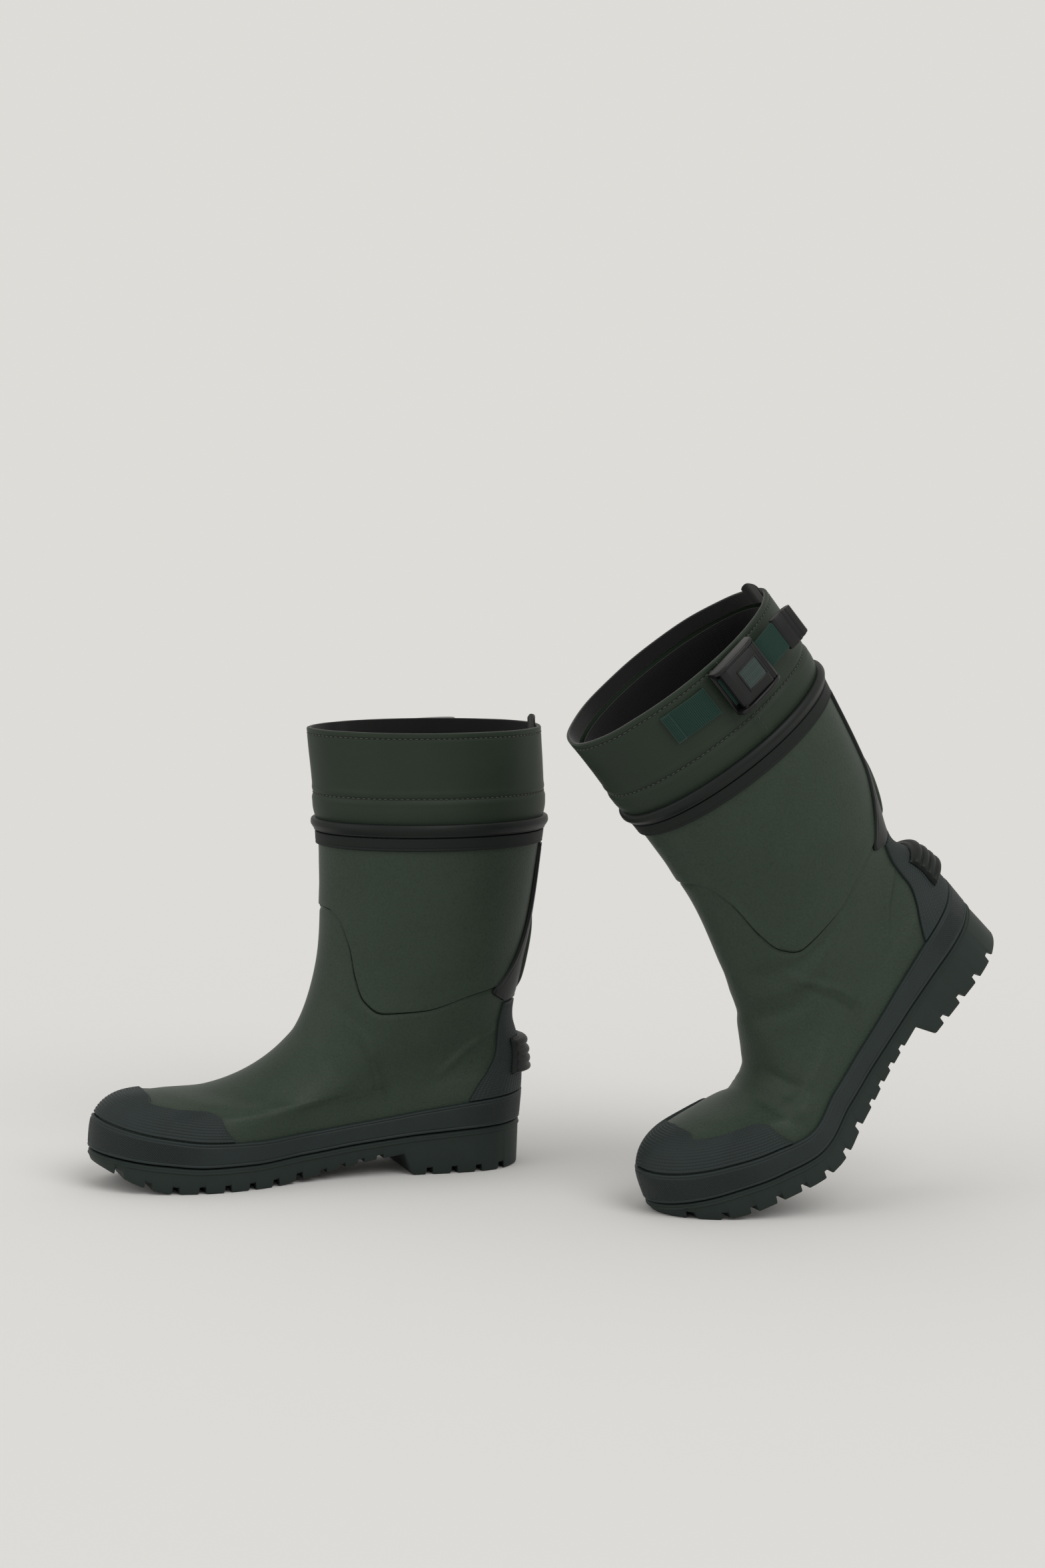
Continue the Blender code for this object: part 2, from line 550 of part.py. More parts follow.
def rod(name, radius, length, centre, segments):
    """A rod along local Y."""
    work = bmesh.new()
    place = Matrix.Translation(Vector(centre) * MM) @ Matrix.Rotation(math.pi / 2, 4, "X")
    bmesh.ops.create_cone(work, cap_ends=True, segments=segments, radius1=radius * MM, radius2=radius * MM,
                          depth=length * MM, matrix=place)
    mesh = bpy.data.meshes.new(name)
    work.to_mesh(mesh)
    work.free()
    return mesh


def cut(piece, cutters, name, mesh):
    """Cut a cutter's mesh, given in the piece's own frame, out of a piece."""
    cutter = bpy.data.objects.new(name, mesh)
    cutters.objects.link(cutter)
    cutter.parent = piece
    cutter.hide_render = True
    cutter.display_type = "WIRE"
    boolean = piece.modifiers.new(name, "BOOLEAN")
    boolean.object = cutter
    boolean.operation = "DIFFERENCE"
    boolean.solver = "EXACT"


def soften(piece, width, segments=1):
    """Round the edges of a piece."""
    bevel = piece.modifiers.new("rounded edges", "BEVEL")
    bevel.width = width * MM
    bevel.segments = segments
    bevel.limit_method = "ANGLE"


def buckle_matrix(boot):
    """The buckle's frame: local Z points away from the collar, Y up the boot, X along the strap."""
    theta = math.radians(BUCKLE_ANGLE)
    ring = float(ring_at_height(np.array([theta]), STRAP_Z)[0])
    step = 0.05

    def at(angle, v, lift=0.0):
        return Vector(boot.to_world(skin(np.array([angle]), np.array([v]), np.array([lift])))[0])

    out = (at(theta, ring, 1.0) - at(theta, ring)).normalized()
    up = (at(theta, ring + step) - at(theta, ring - step)).normalized()
    up = (up - out * up.dot(out)).normalized()
    along = up.cross(out)
    place = Matrix((along, up, out)).transposed().to_4x4()
    place.translation = at(theta, ring, BUCKLE_LIFT)
    return place


def make_strap(boot, cutters):
    """The sewn strap, its sliding tail with a tip, and the cam buckle with lever, pin and window."""
    back = 1 if boot.left else -1
    angles = np.radians(np.linspace(STRAP_START_ANGLE, BUCKLE_ANGLE - 17, 6))
    theta = np.repeat(angles[:, None], 2, axis=1)
    v = ring_at_height(theta, np.repeat(np.array([[STRAP_Z - STRAP_WIDTH / 2, STRAP_Z + STRAP_WIDTH / 2]]),
                                        6, axis=0))
    rise = 1.2 * smoothstep(theta, angles[0], angles[-1])
    shell(boot, "cinch_strap", WEBBING, "heel", theta, v, GAP + STRAP_THICKNESS + rise, GAP + rise, False)

    angles = np.radians(np.linspace(BUCKLE_ANGLE - ANCHOR_HALF_ANGLE, BUCKLE_ANGLE + ANCHOR_HALF_ANGLE, 4))
    theta = np.repeat(angles[:, None], 2, axis=1)
    v = ring_at_height(theta, np.repeat(np.array([[STRAP_Z - ANCHOR_HALF_HEIGHT,
                                                        STRAP_Z + ANCHOR_HALF_HEIGHT]]), 4, axis=0))
    shell(boot, "buckle_anchor", WEBBING, "heel", theta, v, LAYER_GAP + STRAP_THICKNESS, GAP, False)

    frame = boot.add_piece("buckle_frame", box("frame", (BUCKLE_LENGTH, BUCKLE_HEIGHT, BUCKLE_DEPTH),
                                               (0, 0, BUCKLE_DEPTH / 2)), BLACK_PLASTIC, "buckle", Matrix())
    soften(frame, 1.2, 2)
    inside = BUCKLE_HEIGHT - 2 * CHEEK
    cut(frame, cutters, f"{boot.name}_channel", box("channel", (BUCKLE_LENGTH + 4, inside, BUCKLE_DEPTH),
                                                    (0, 0, BUCKLE_DEPTH / 2 + BASE_THICKNESS)))
    cut(frame, cutters, f"{boot.name}_pin_bore", rod("bore", PIN_RADIUS + PIN_CLEARANCE, BUCKLE_HEIGHT + 4,
                                                     (back * PIN_A, 0, PIN_HEIGHT), 16))
    pin = rod("pin", PIN_RADIUS, BUCKLE_HEIGHT - 0.8, (back * PIN_A, 0, PIN_HEIGHT), 16)
    boot.add_piece("buckle_pin", pin, STEEL, "buckle", Matrix())

    lever_height = inside - 0.8
    lever_length = BUCKLE_LENGTH - 4.0
    floor = BASE_THICKNESS + STRAP_THICKNESS + 3 * GAP
    lever_centre = (back * (lever_length / 2 - LEVER_HEEL), 0, floor + LEVER_THICKNESS / 2 - PIN_HEIGHT)
    lever = boot.add_piece("buckle_lever", box("lever", (lever_length, lever_height, LEVER_THICKNESS),
                                               lever_centre), BLACK_PLASTIC, "lever", Matrix())
    soften(lever, 1.0, 2)
    cut(lever, cutters, f"{boot.name}_lever_bore", rod("lever_bore", PIN_RADIUS + PIN_CLEARANCE,
                                                       lever_height + 4, (0, 0, 0), 16))
    top = lever_centre[2] + LEVER_THICKNESS / 2
    window_size = (14.0, 12.0)
    window_centre = (back * 15.0, 0)
    cut(lever, cutters, f"{boot.name}_window_seat", box("seat", (*[side + 0.6 for side in window_size], 3.0),
                                                        (*window_centre, top)))
    pane = box("window", (*window_size, 1.0), (*window_centre, top - 0.7))
    window = boot.add_piece("lever_window", pane, WINDOW_PLASTIC, "lever", Matrix())
    soften(window, 0.3)

    strap_z = BASE_THICKNESS + GAP + STRAP_THICKNESS / 2
    tail_start = -BUCKLE_LENGTH / 2 + 2.0
    tail_centre = (back * (tail_start + TAIL_LENGTH / 2), 0, strap_z)
    boot.add_piece("strap_tail", box("tail", (TAIL_LENGTH, STRAP_WIDTH, STRAP_THICKNESS), tail_centre),
                   WEBBING, "tail", Matrix())
    tip_centre = (back * (tail_start + TAIL_LENGTH + TIP_LENGTH / 2 - 10.0), 0, strap_z)
    tip = boot.add_piece("strap_tip", box("tip", (TIP_LENGTH, STRAP_WIDTH + 3.0, 5.0), tip_centre),
                         BLACK_PLASTIC, "tail", Matrix())
    soften(tip, 1.2, 2)
    slot_centre = (tip_centre[0] - back * (TIP_LENGTH / 2 - 1.6), 0, strap_z)
    cut(tip, cutters, f"{boot.name}_tip_slot",
        box("slot", (20.0, STRAP_WIDTH + 0.8, STRAP_THICKNESS + 0.8), slot_centre))


def add_empties(boot):
    """The empties on the joint axes: ball of the foot, buckle place, lever pin and strap tail."""
    roll = boot.to_world(np.array([0.0, ROLL_S, 0.0]))
    ball = ball_axis_point(boot)
    boot.add_empty("forefoot", Matrix.Translation(Vector(roll if boot.left else ball)))
    boot.add_empty("heel", Matrix.Translation(Vector(ball)))
    place = buckle_matrix(boot)
    back = 1 if boot.left else -1
    boot.add_empty("buckle", place)
    boot.add_empty("lever", place @ Matrix.Translation(Vector((back * PIN_A, 0, PIN_HEIGHT)) * MM))
    boot.add_empty("tail", place)


def ball_axis_point(boot):
    """The point of the ball axis on the boot's centre plane."""
    ball = np.array([0.0, BALL_S, BALL_Z])
    if not boot.left:
        return boot.to_world(ball)
    rolled = turn(ball, ROLL_S, 0.0, TOE_ROLL)
    ahead = rolled[1] - ROLL_S
    return np.array([LEFT_ROLL_POINT[0] + ahead * math.sin(LEFT_TOE_OUT),
                     LEFT_ROLL_POINT[1] - ahead * math.cos(LEFT_TOE_OUT), rolled[2]]) * MM


def build():
    """Make both boots in a fresh scene."""
    for old in list(bpy.data.objects):
        bpy.data.objects.remove(old, do_unlink=True)
    parts = bpy.data.collections.new(COLLECTION)
    cutters = bpy.data.collections.new("cutters")
    for collection in (parts, cutters):
        bpy.context.scene.collection.children.link(collection)
    for name in ("right", "left"):
        boot = Boot(name, parts)
        add_empties(boot)
        make_outsole(boot)
        make_sole_layers(boot)
        make_foot(boot)
        make_heel(boot)
        make_leg(boot)
        make_strap(boot, cutters)
    bpy.context.view_layer.update()


build()
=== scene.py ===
"""Looks of a pair of insulated rubber hunting boots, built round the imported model.

Each boot is described flat in millimetres, as in the CAD: x points to the lateral side, s runs from the
back of the heel to the toe, z is up from the floor.  Angles go round from the toe: 0 is the toe, 90
degrees the lateral side, 180 degrees the back.  Finished meshes are in world metres.
"""
import math

import bmesh
import bpy
import numpy as np
from mathutils import Matrix, Vector


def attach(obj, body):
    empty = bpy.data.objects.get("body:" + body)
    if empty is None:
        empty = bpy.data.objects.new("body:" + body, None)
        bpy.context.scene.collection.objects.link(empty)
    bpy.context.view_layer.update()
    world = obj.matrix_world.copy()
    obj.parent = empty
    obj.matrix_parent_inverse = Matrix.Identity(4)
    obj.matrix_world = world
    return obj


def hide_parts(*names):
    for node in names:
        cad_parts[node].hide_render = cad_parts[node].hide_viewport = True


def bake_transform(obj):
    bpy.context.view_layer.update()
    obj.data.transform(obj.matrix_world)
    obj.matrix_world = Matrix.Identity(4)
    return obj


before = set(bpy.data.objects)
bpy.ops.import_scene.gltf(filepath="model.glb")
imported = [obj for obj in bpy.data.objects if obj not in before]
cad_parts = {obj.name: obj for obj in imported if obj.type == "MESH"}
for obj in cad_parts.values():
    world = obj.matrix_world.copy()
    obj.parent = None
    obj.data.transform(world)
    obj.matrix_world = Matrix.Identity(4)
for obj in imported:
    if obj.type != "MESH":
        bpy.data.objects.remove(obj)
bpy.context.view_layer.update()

MM = 0.001
MILLIMETRES = Matrix.Diagonal((MM, MM, MM, 1))

# ---------------------------------------------------------------- shape of the boot, as in the CAD
RIGHT_HEEL_BACK = (-89.9, 8.6)
LEFT_ROLL_POINT = (88.1, 90.6)
LEFT_TOE_OUT = math.radians(4.0)
TOE_ROLL = math.radians(25.0)
BALL_BEND = math.radians(22.0)
ANKLE_BEND = math.radians(10.0)
ROLL_S = 251.53
BALL_S, BALL_Z = 192.0, 10.0
BEND_START_S, BEND_END_S = 150.0, 216.0
ANKLE_S, ANKLE_Z = 62.0, 92.0
ANKLE_LOW_Z, ANKLE_HIGH_Z = 66.0, 168.0

SHELL_THICKNESS = 2.0
GAP = 0.3
LAYER_GAP = 1.0
UNDERSIDE = LAYER_GAP - 0.9
SOLE_GAP = 0.7
LINING_OUT, LINING_IN = -5.5, -8.0
FOXING_THICKNESS = 1.6
OVERLAY_THICKNESS = 1.3
COLLAR_THICKNESS = 1.3
SEAM_TUCK = 1.1
RIM_Z = 295.0
COLLAR_BOTTOM_Z = 236.2
BEAD_Z = (227.0, 235.8)
BAND_Z = (218.0, 226.6)
HEM_HEIGHT = 10.0
TAB_Z, TAB_HALF_ANGLE = (286.0, 301.5), 12.0
SPUR_Z, SPUR_HALF_ANGLE = (63.0, 86.0), 26.0
SPUR_RIBS, SPUR_DEPTH = 4, 5.0
LUG_DEPTH = 4.5

# Rings of the upper: front s, front z, back s, back z, half width, share of foot shape, dip of the sides.
RINGS = (
    (287.0, None, -2.5, None, 46.5, 1.00, 0.0),
    (284.0, None, -4.0, None, 48.0, 1.00, 0.0),
    (271.0, 57.5, -4.5, 61.0, 46.5, 0.90, 14.0),
    (245.0, 60.5, -4.5, 70.0, 43.5, 0.70, 13.0),
    (213.0, 61.5, -3.5, 80.0, 41.0, 0.50, 11.0),
    (184.0, 70.0, 0.0, 90.0, 40.0, 0.35, 8.0),
    (160.0, 85.0, 2.5, 100.0, 41.5, 0.20, 4.0),
    (145.0, 104.0, 1.5, 113.0, 44.0, 0.10, 1.0),
    (134.5, 140.0, -5.0, 140.0, 48.0, 0.0, 0.0),
    (132.0, 180.0, -12.0, 180.0, 51.0, 0.0, 0.0),
    (133.5, 225.0, -17.5, 225.0, 53.0, 0.0, 0.0),
    (136.0, 240.0, -19.5, 240.0, 53.5, 0.0, 0.0),
    (138.0, 270.0, -19.5, 270.0, 53.0, 0.0, 0.0),
    (140.0, 295.0, -18.5, 295.0, 52.5, 0.0, 0.0),
    (141.0, 310.0, -18.0, 310.0, 52.5, 0.0, 0.0),
)
TOE_SWING = 8.0
LATERAL_SHAPE = ((0, 1.5), (20, 1.44), (34, 1.35), (46, 1.24), (58, 1.18), (70, 1.09), (86, 0.88),
                 (98, 0.80), (115, 0.83), (129, 0.93), (143, 1.13), (154, 1.25), (180, 1.3))
MEDIAL_SHAPE = ((0, 1.5), (20, 1.44), (34, 1.35), (46, 1.24), (58, 1.18), (70, 1.03), (86, 0.76),
                (98, 0.70), (115, 0.76), (129, 0.92), (143, 1.13), (154, 1.25), (180, 1.3))
SOLE_TOP = ((-6, 31), (40, 29), (77, 26.5), (110, 23.3), (150, 19), (190, 16.5), (220, 16.5),
            (250, 19), (275, 22.5), (300, 27.5))
FOREFOOT_GROUND = ((83, 14.5), (110, 10.5), (145, 4.0), (180, 0.0), (236, 0.0), (250, 1.6), (262, 5.0),
                   (275, 11.0), (287, 17.0), (298, 22.5))
FOXING_HEIGHT = ((0, 22.5), (30, 19), (60, 16.5), (98, 15), (140, 19), (180, 20.5))
LEG_SEAM = ((0, 177), (14, 176), (24, 171), (34, 155), (42, 134), (52, 118), (66, 110), (88, 111),
            (116, 120), (150, 126), (180, 127))
CAP_EDGE = ((0, 2.75), (14, 2.62), (26, 2.25), (36, 2.3), (46, 2.45), (54, 2.15), (60, 1.5), (64, 1.08))
CAP_HALF_ANGLE = 64.0
COUNTER_HALF_ANGLE = ((52.5, 46), (70, 41), (90, 37), (112, 34))
STAY_HALF_ANGLE = ((113.5, 36), (121, 50), (127, 46), (145, 33), (170, 23), (217, 19))
PATCH_HALF_ANGLE = ((118, 2), (128, 13), (140, 17), (155, 11), (168, 2))
# Ground side of the sole: front face of the heel block as (s, z), middles of the grooves, and a groove's
# section as (distance from its middle, share of the lug depth).
HEEL_BREAST = ((75.6, 0.0), (77.0, 0.4), (77.8, 1.4), (83.5, 14.3))
HEEL_GROOVES = (15.0, 32.0, 49.0, 66.0)
WAIST_GROOVES = (100.0, 113.0, 126.0, 139.0)
FOREFOOT_GROOVES = (156.0, 173.0, 190.0, 207.0, 224.0, 241.0, 258.0, 275.0)
GROOVE_SHAPE = ((-3.1, 0.0), (-2.5, 0.10), (-1.9, 1.0), (1.9, 1.0), (2.5, 0.10), (3.1, 0.0))

STRAP_WIDTH, STRAP_THICKNESS = 20.0, 1.4
STRAP_Z = 277.0
STRAP_START_ANGLE, BUCKLE_ANGLE = 62.0, 103.0
BUCKLE_LENGTH, BUCKLE_HEIGHT = 36.0, 33.0
CHEEK, BASE_THICKNESS = 2.8, 1.6
BUCKLE_LIFT = 3.2
PIN_A = -12.5
LEVER_THICKNESS, LEVER_HEEL = 6.4, 2.4
WINDOW_HALF_LENGTH, WINDOW_HALF_WIDTH, WINDOW_RIM = 7.6, 6.6, 1.3
TAIL_LENGTH = 64.0
TAIL_START = -BUCKLE_LENGTH / 2 + 2.0
TAIL_LIFT = BASE_THICKNESS + GAP + STRAP_THICKNESS / 2

# ---------------------------------------------------------------- detail of the looks
HATCH_PITCH, HATCH_DEPTH, HATCH_GROOVE = 2.0, 0.42, 0.36
DIAGONAL_PITCH, DIAGONAL_WIDTH = 1.65, 0.38
RIB_PITCH, RIB_DEPTH = 1.3, 0.22
STITCH_PITCH, STITCH_LENGTH, THREAD_RADIUS = 3.6, 2.4, 0.34
COLLAR_STITCH_Z = 252.0
HEM_STITCH_Z = 291.2
COLLAR_SEAM_ANGLE = 96.0


def curve_through(keys):
    """A smooth curve y(x) through the keys that never overshoots them."""
    xs, ys = np.array(keys, float).T
    step = np.diff(xs)
    slope = np.diff(ys) / step
    tangent = np.concatenate((slope[:1], np.zeros(len(xs) - 2), slope[-1:]))
    same = slope[:-1] * slope[1:] > 0
    tangent[1:-1][same] = 2 * slope[:-1][same] * slope[1:][same] / (slope[:-1] + slope[1:])[same]

    def value(x):
        x = np.clip(np.asarray(x, float), xs[0], xs[-1])
        i = np.clip(np.searchsorted(xs, x, side="right") - 1, 0, len(xs) - 2)
        t = (x - xs[i]) / step[i]
        rise = t * t * (3 - 2 * t)
        return (ys[i] * (1 - rise) + ys[i + 1] * rise
                + step[i] * t * (1 - t) * (tangent[i] * (1 - t) - tangent[i + 1] * t))

    return value


def smoothstep(x, low, high):
    """0 below low, 1 above high, smooth between."""
    t = np.clip((np.asarray(x, float) - low) / (high - low), 0, 1)
    return t * t * (3 - 2 * t)


def bump(x, centre, half_width):
    """1 at the centre, falling smoothly to 0 with distance."""
    return np.exp(-((np.asarray(x, float) - centre) / half_width) ** 2)


lateral_shape, medial_shape = curve_through(LATERAL_SHAPE), curve_through(MEDIAL_SHAPE)
sole_top, forefoot_ground = curve_through(SOLE_TOP), curve_through(FOREFOOT_GROUND)
foxing_height, leg_seam = curve_through(FOXING_HEIGHT), curve_through(LEG_SEAM)
cap_edge = curve_through(CAP_EDGE)


def from_toe(theta):
    """Degrees round from the toe, 0 to 180, on either side."""
    turned = np.degrees(theta) % 360
    return np.minimum(turned, 360 - turned)


def ring_points(number, theta):
    """Points of one ring of the upper at the angles theta: x, s, z."""
    front_s, front_z, back_s, back_z, half_width, share, dip = RINGS[number]
    cos, sin = np.cos(theta), np.sin(theta)
    s = (front_s + back_s) / 2 + (front_s - back_s) / 2 * cos
    degrees = from_toe(theta)
    shape = np.where(sin >= 0, lateral_shape(degrees), medial_shape(degrees))
    x = half_width * sin * (1 + (shape - 1) * share)
    x = x - TOE_SWING * smoothstep(s, 120, 290)
    if number == 0:
        z = sole_top(s) + SOLE_GAP
    elif number == 1:
        z = sole_top(s) + foxing_height(degrees)
    else:
        z = front_z + (back_z - front_z) * (1 - cos) / 2 - dip * sin ** 2 * (1 + cos) / 1.3
    return np.stack((x, s, z), axis=-1)


def upper(theta, v):
    """Points on the skin of the upper, at angle theta and ring position v (smooth through the rings)."""
    theta, v = np.broadcast_arrays(np.asarray(theta, float), np.asarray(v, float))
    rings = np.stack([ring_points(number, theta) for number in range(len(RINGS))])
    low = np.clip(np.floor(v).astype(int), 0, len(RINGS) - 2)
    t = (v - low)[..., None]

    def pick(index):
        index = np.clip(index, 0, len(RINGS) - 1)
        return np.take_along_axis(rings, index[None, ..., None], axis=0)[0]

    before, start, end, after = (pick(low + offset) for offset in (-1, 0, 1, 2))
    slope_start, slope_end = (end - before) / 2, (after - start) / 2
    rise = t * t * (3 - 2 * t)
    return start * (1 - rise) + end * rise + t * (1 - t) * (slope_start * (1 - t) - slope_end * t)


def skin_normal(theta, v):
    """Unit normals of the skin, pointing outward."""
    d_theta, d_v = 0.02, 0.05
    around = upper(theta + d_theta, v) - upper(theta - d_theta, v)
    up = upper(theta, np.minimum(v + d_v, len(RINGS) - 1)) - upper(theta, np.maximum(v - d_v, 0))
    normal = -np.cross(around, up)
    return normal / np.linalg.norm(normal, axis=-1, keepdims=True)


def skin(theta, v, lift):
    """Points at a distance lift outward from the skin."""
    theta, v = np.broadcast_arrays(np.asarray(theta, float), np.asarray(v, float))
    lift = np.broadcast_to(np.asarray(lift, float), theta.shape)
    return upper(theta, v) + skin_normal(theta, v) * lift[..., None]


# Ring position for each whole degree and millimetre of height, looked up by ring_at_height.
TABLE_V = np.linspace(0, len(RINGS) - 1, 561)
TABLE_DEGREES = np.arange(0, 361)
TABLE_Z = np.arange(15, 311)
table_theta, table_v = np.meshgrid(np.radians(TABLE_DEGREES), TABLE_V, indexing="ij")
table_heights = np.maximum.accumulate(upper(table_theta, table_v)[..., 2], axis=1)
HEIGHT_TABLE = np.array([np.interp(TABLE_Z, row, TABLE_V) for row in table_heights])


def ring_at_height(theta, z):
    """Ring position v at which the skin reaches height z."""
    theta, z = np.broadcast_arrays(np.asarray(theta, float), np.asarray(z, float))
    a = np.degrees(theta) % 360
    b = np.clip(z - TABLE_Z[0], 0, len(TABLE_Z) - 1.001)
    i, j = a.astype(int), b.astype(int)
    fa, fb = a - i, b - j
    i = np.clip(i, 0, 359)
    return (HEIGHT_TABLE[i, j] * (1 - fa) * (1 - fb) + HEIGHT_TABLE[i + 1, j] * fa * (1 - fb)
            + HEIGHT_TABLE[i, j + 1] * (1 - fa) * fb + HEIGHT_TABLE[i + 1, j + 1] * fa * fb)


def turn(points, s, z, angle):
    """Turn points about the lateral line through (s, z); a positive angle raises the heel side."""
    ds, dz = points[..., 1] - s, points[..., 2] - z
    cos, sin = np.cos(angle), np.sin(angle)
    return np.stack((points[..., 0], s + ds * cos + dz * sin, z - ds * sin + dz * cos), axis=-1)


def to_world(side, points):
    """World metres of points given in the flat boot's millimetres."""
    points = np.asarray(points, float)
    if side == "right":
        x = RIGHT_HEEL_BACK[0] - points[..., 0]
        y = RIGHT_HEEL_BACK[1] - points[..., 1]
        return np.stack((x, y, points[..., 2]), axis=-1) * MM
    flat_s, flat_z = points[..., 1], points[..., 2]
    heel_share = 1 - smoothstep(flat_s, BEND_START_S, BEND_END_S)
    points = turn(points, ANKLE_S, ANKLE_Z, -ANKLE_BEND * smoothstep(flat_z, ANKLE_LOW_Z, ANKLE_HIGH_Z)
                  * heel_share)
    points = turn(points, BALL_S, BALL_Z, BALL_BEND * heel_share)
    points = turn(points, ROLL_S, 0.0, TOE_ROLL)
    ahead, across = points[..., 1] - ROLL_S, points[..., 0]
    x = LEFT_ROLL_POINT[0] + ahead * math.sin(LEFT_TOE_OUT) + across * math.cos(LEFT_TOE_OUT)
    y = LEFT_ROLL_POINT[1] - ahead * math.cos(LEFT_TOE_OUT) + across * math.sin(LEFT_TOE_OUT)
    return np.stack((x, y, points[..., 2]), axis=-1) * MM


# ---------------------------------------------------------------- meshes
def volume(points, faces):
    """Signed volume of a closed mesh."""
    total = 0.0
    for group in faces:
        a = points[group[:, 0]]
        for corner in range(1, group.shape[1] - 1):
            b, c = points[group[:, corner]], points[group[:, corner + 1]]
            total += np.einsum("ij,ij->", a, np.cross(b, c))
    return total


def mesh_from(name, points, faces, flat=None, sheet=None, sharp=50):
    """A mesh from arrays: faces is a list of arrays of equal-sided faces, turned to face outward."""
    if volume(points, faces) < 0:
        faces = [group[:, ::-1] for group in faces]
    mesh = bpy.data.meshes.new(name)
    mesh.vertices.add(len(points))
    mesh.vertices.foreach_set("co", np.ascontiguousarray(points, np.float32).ravel())
    loops = np.concatenate([group.ravel() for group in faces])
    sizes = np.concatenate([np.full(len(group), group.shape[1]) for group in faces])
    mesh.loops.add(len(loops))
    mesh.loops.foreach_set("vertex_index", loops.astype(np.int32))
    mesh.polygons.add(len(sizes))
    mesh.polygons.foreach_set("loop_start", np.concatenate(([0], np.cumsum(sizes)[:-1])).astype(np.int32))
    mesh.update(calc_edges=True)
    for label, values in (("flat", flat), ("sheet", sheet)):
        if values is not None:
            layer = mesh.attributes.new(label, "FLOAT_VECTOR", "POINT")
            layer.data.foreach_set("vector", np.ascontiguousarray(values, np.float32).ravel())
    mesh.shade_smooth()
    mesh.set_sharp_from_angle(angle=math.radians(sharp))
    return mesh


def sheet_faces(rows, columns, ring):
    """Faces of a closed body between an outer and an inner grid; ring closes the first direction."""
    half = rows * columns
    i = np.arange(rows if ring else rows - 1)
    here, there = i * columns, (i + 1) % rows * columns
    j = np.arange(columns - 1)
    a = here[:, None] + j
    b = there[:, None] + j
    quads = np.stack((a, b, b + 1, a + 1), axis=-1).reshape(-1, 4)
    faces = [quads, half + quads[:, ::-1]]
    faces.append(np.stack((here, half + here, half + there, there), axis=-1))
    last = columns - 1
    faces.append(np.stack((here + last, there + last, half + there + last, half + here + last), axis=-1))
    if not ring:
        faces.append(np.stack((j, j + 1, half + j + 1, half + j), axis=-1))
        end = half - columns
        faces.append(np.stack((end + j, half + end + j, half + end + j + 1, end + j + 1), axis=-1))
    return [np.concatenate(faces)]


def arc_lengths(points):
    """Distances along both directions of a grid of flat points: a round the boot, b up from its start."""
    middle = points.shape[1] // 2
    a = np.concatenate(([0], np.cumsum(np.linalg.norm(np.diff(points[:, middle], axis=0), axis=-1))))
    b = np.concatenate((np.zeros((len(points), 1)),
                        np.cumsum(np.linalg.norm(np.diff(points, axis=1), axis=-1), axis=1)), axis=1)
    return np.broadcast_to(a[:, None], b.shape), b


def from_edges(theta, v):
    """Distances of each grid point from the grid's lower and upper edges."""
    _, b = arc_lengths(upper(theta, v))
    return b, b[:, -1:] - b


def piece(side, part, mesh, body="hindfoot"):
    """Put a finished mesh in the scene, on a body, in place of its CAD node where it has one."""
    look, slot = FINISH[part]
    made = bpy.data.objects.new(mesh.name, mesh)
    bpy.context.scene.collection.objects.link(made)
    mesh.materials.clear()
    mesh.materials.append(LOOKS[look])
    if body is not None:
        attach(made, f"{side}_{body}")
    if f"{side}_{part}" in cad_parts:
        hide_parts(f"{side}_{part}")
    return made


def sheet_piece(side, part, theta, v, lift_out, lift_in, ring, body="hindfoot", pattern=None, sharp=50):
    """A piece that follows the upper between two lifts, over a grid of angles and ring positions."""
    outer, inner = skin(theta, v, lift_out), skin(theta, v, lift_in)
    a, b = arc_lengths(outer)
    strength = np.zeros_like(a) if pattern is None else pattern
    sheet = np.stack((a, b, strength), axis=-1).reshape(-1, 3)
    flat = np.concatenate((outer.reshape(-1, 3), inner.reshape(-1, 3)))
    mesh = mesh_from(f"{side}_{part}_surface", to_world(side, flat), sheet_faces(*theta.shape, ring), flat,
                     np.concatenate((sheet, sheet)), sharp)
    return piece(side, part, mesh, body)


def bend_with_ball(made):
    """Bake the world placement of a piece that crosses the ball of the foot into its mesh."""
    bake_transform(made)


def ring_grid(low, high, rows, columns):
    """Angles and ring positions all the way round between two lines."""
    angles = np.arange(columns) * 2 * math.pi / columns
    share = np.linspace(0, 1, rows)
    v = low(angles)[:, None] * (1 - share) + high(angles)[:, None] * share
    return np.repeat(angles[:, None], rows, axis=1), v


def level(z):
    """A line round the boot at height z."""
    return lambda theta: ring_at_height(theta, z)


def ring_line(v):
    """A line round the boot at ring position v."""
    return lambda theta: np.full(np.shape(theta), float(v))


def seam_line(shift):
    """The seam between the vamp and the leg, moved up by shift."""
    return lambda theta: ring_at_height(theta, leg_seam(from_toe(theta)) + shift)


def rounded(distance, radius):
    """0 at an edge, 1 from radius inward, along a quarter circle."""
    t = np.clip(distance / radius, 0, 1)
    return np.sqrt(np.clip(1 - (1 - t) ** 2, 0, 1))


def edge_distance(theta, v):
    """Distance of each grid point from the nearest edge of its piece."""
    points = upper(theta, v)
    _, b = arc_lengths(points)
    step = np.linalg.norm(np.diff(points, axis=0), axis=-1)
    along = np.concatenate((np.zeros((1, points.shape[1])), np.cumsum(step, axis=0)))
    return np.minimum(np.minimum(b, b[:, -1:] - b), np.minimum(along, along[-1:] - along))


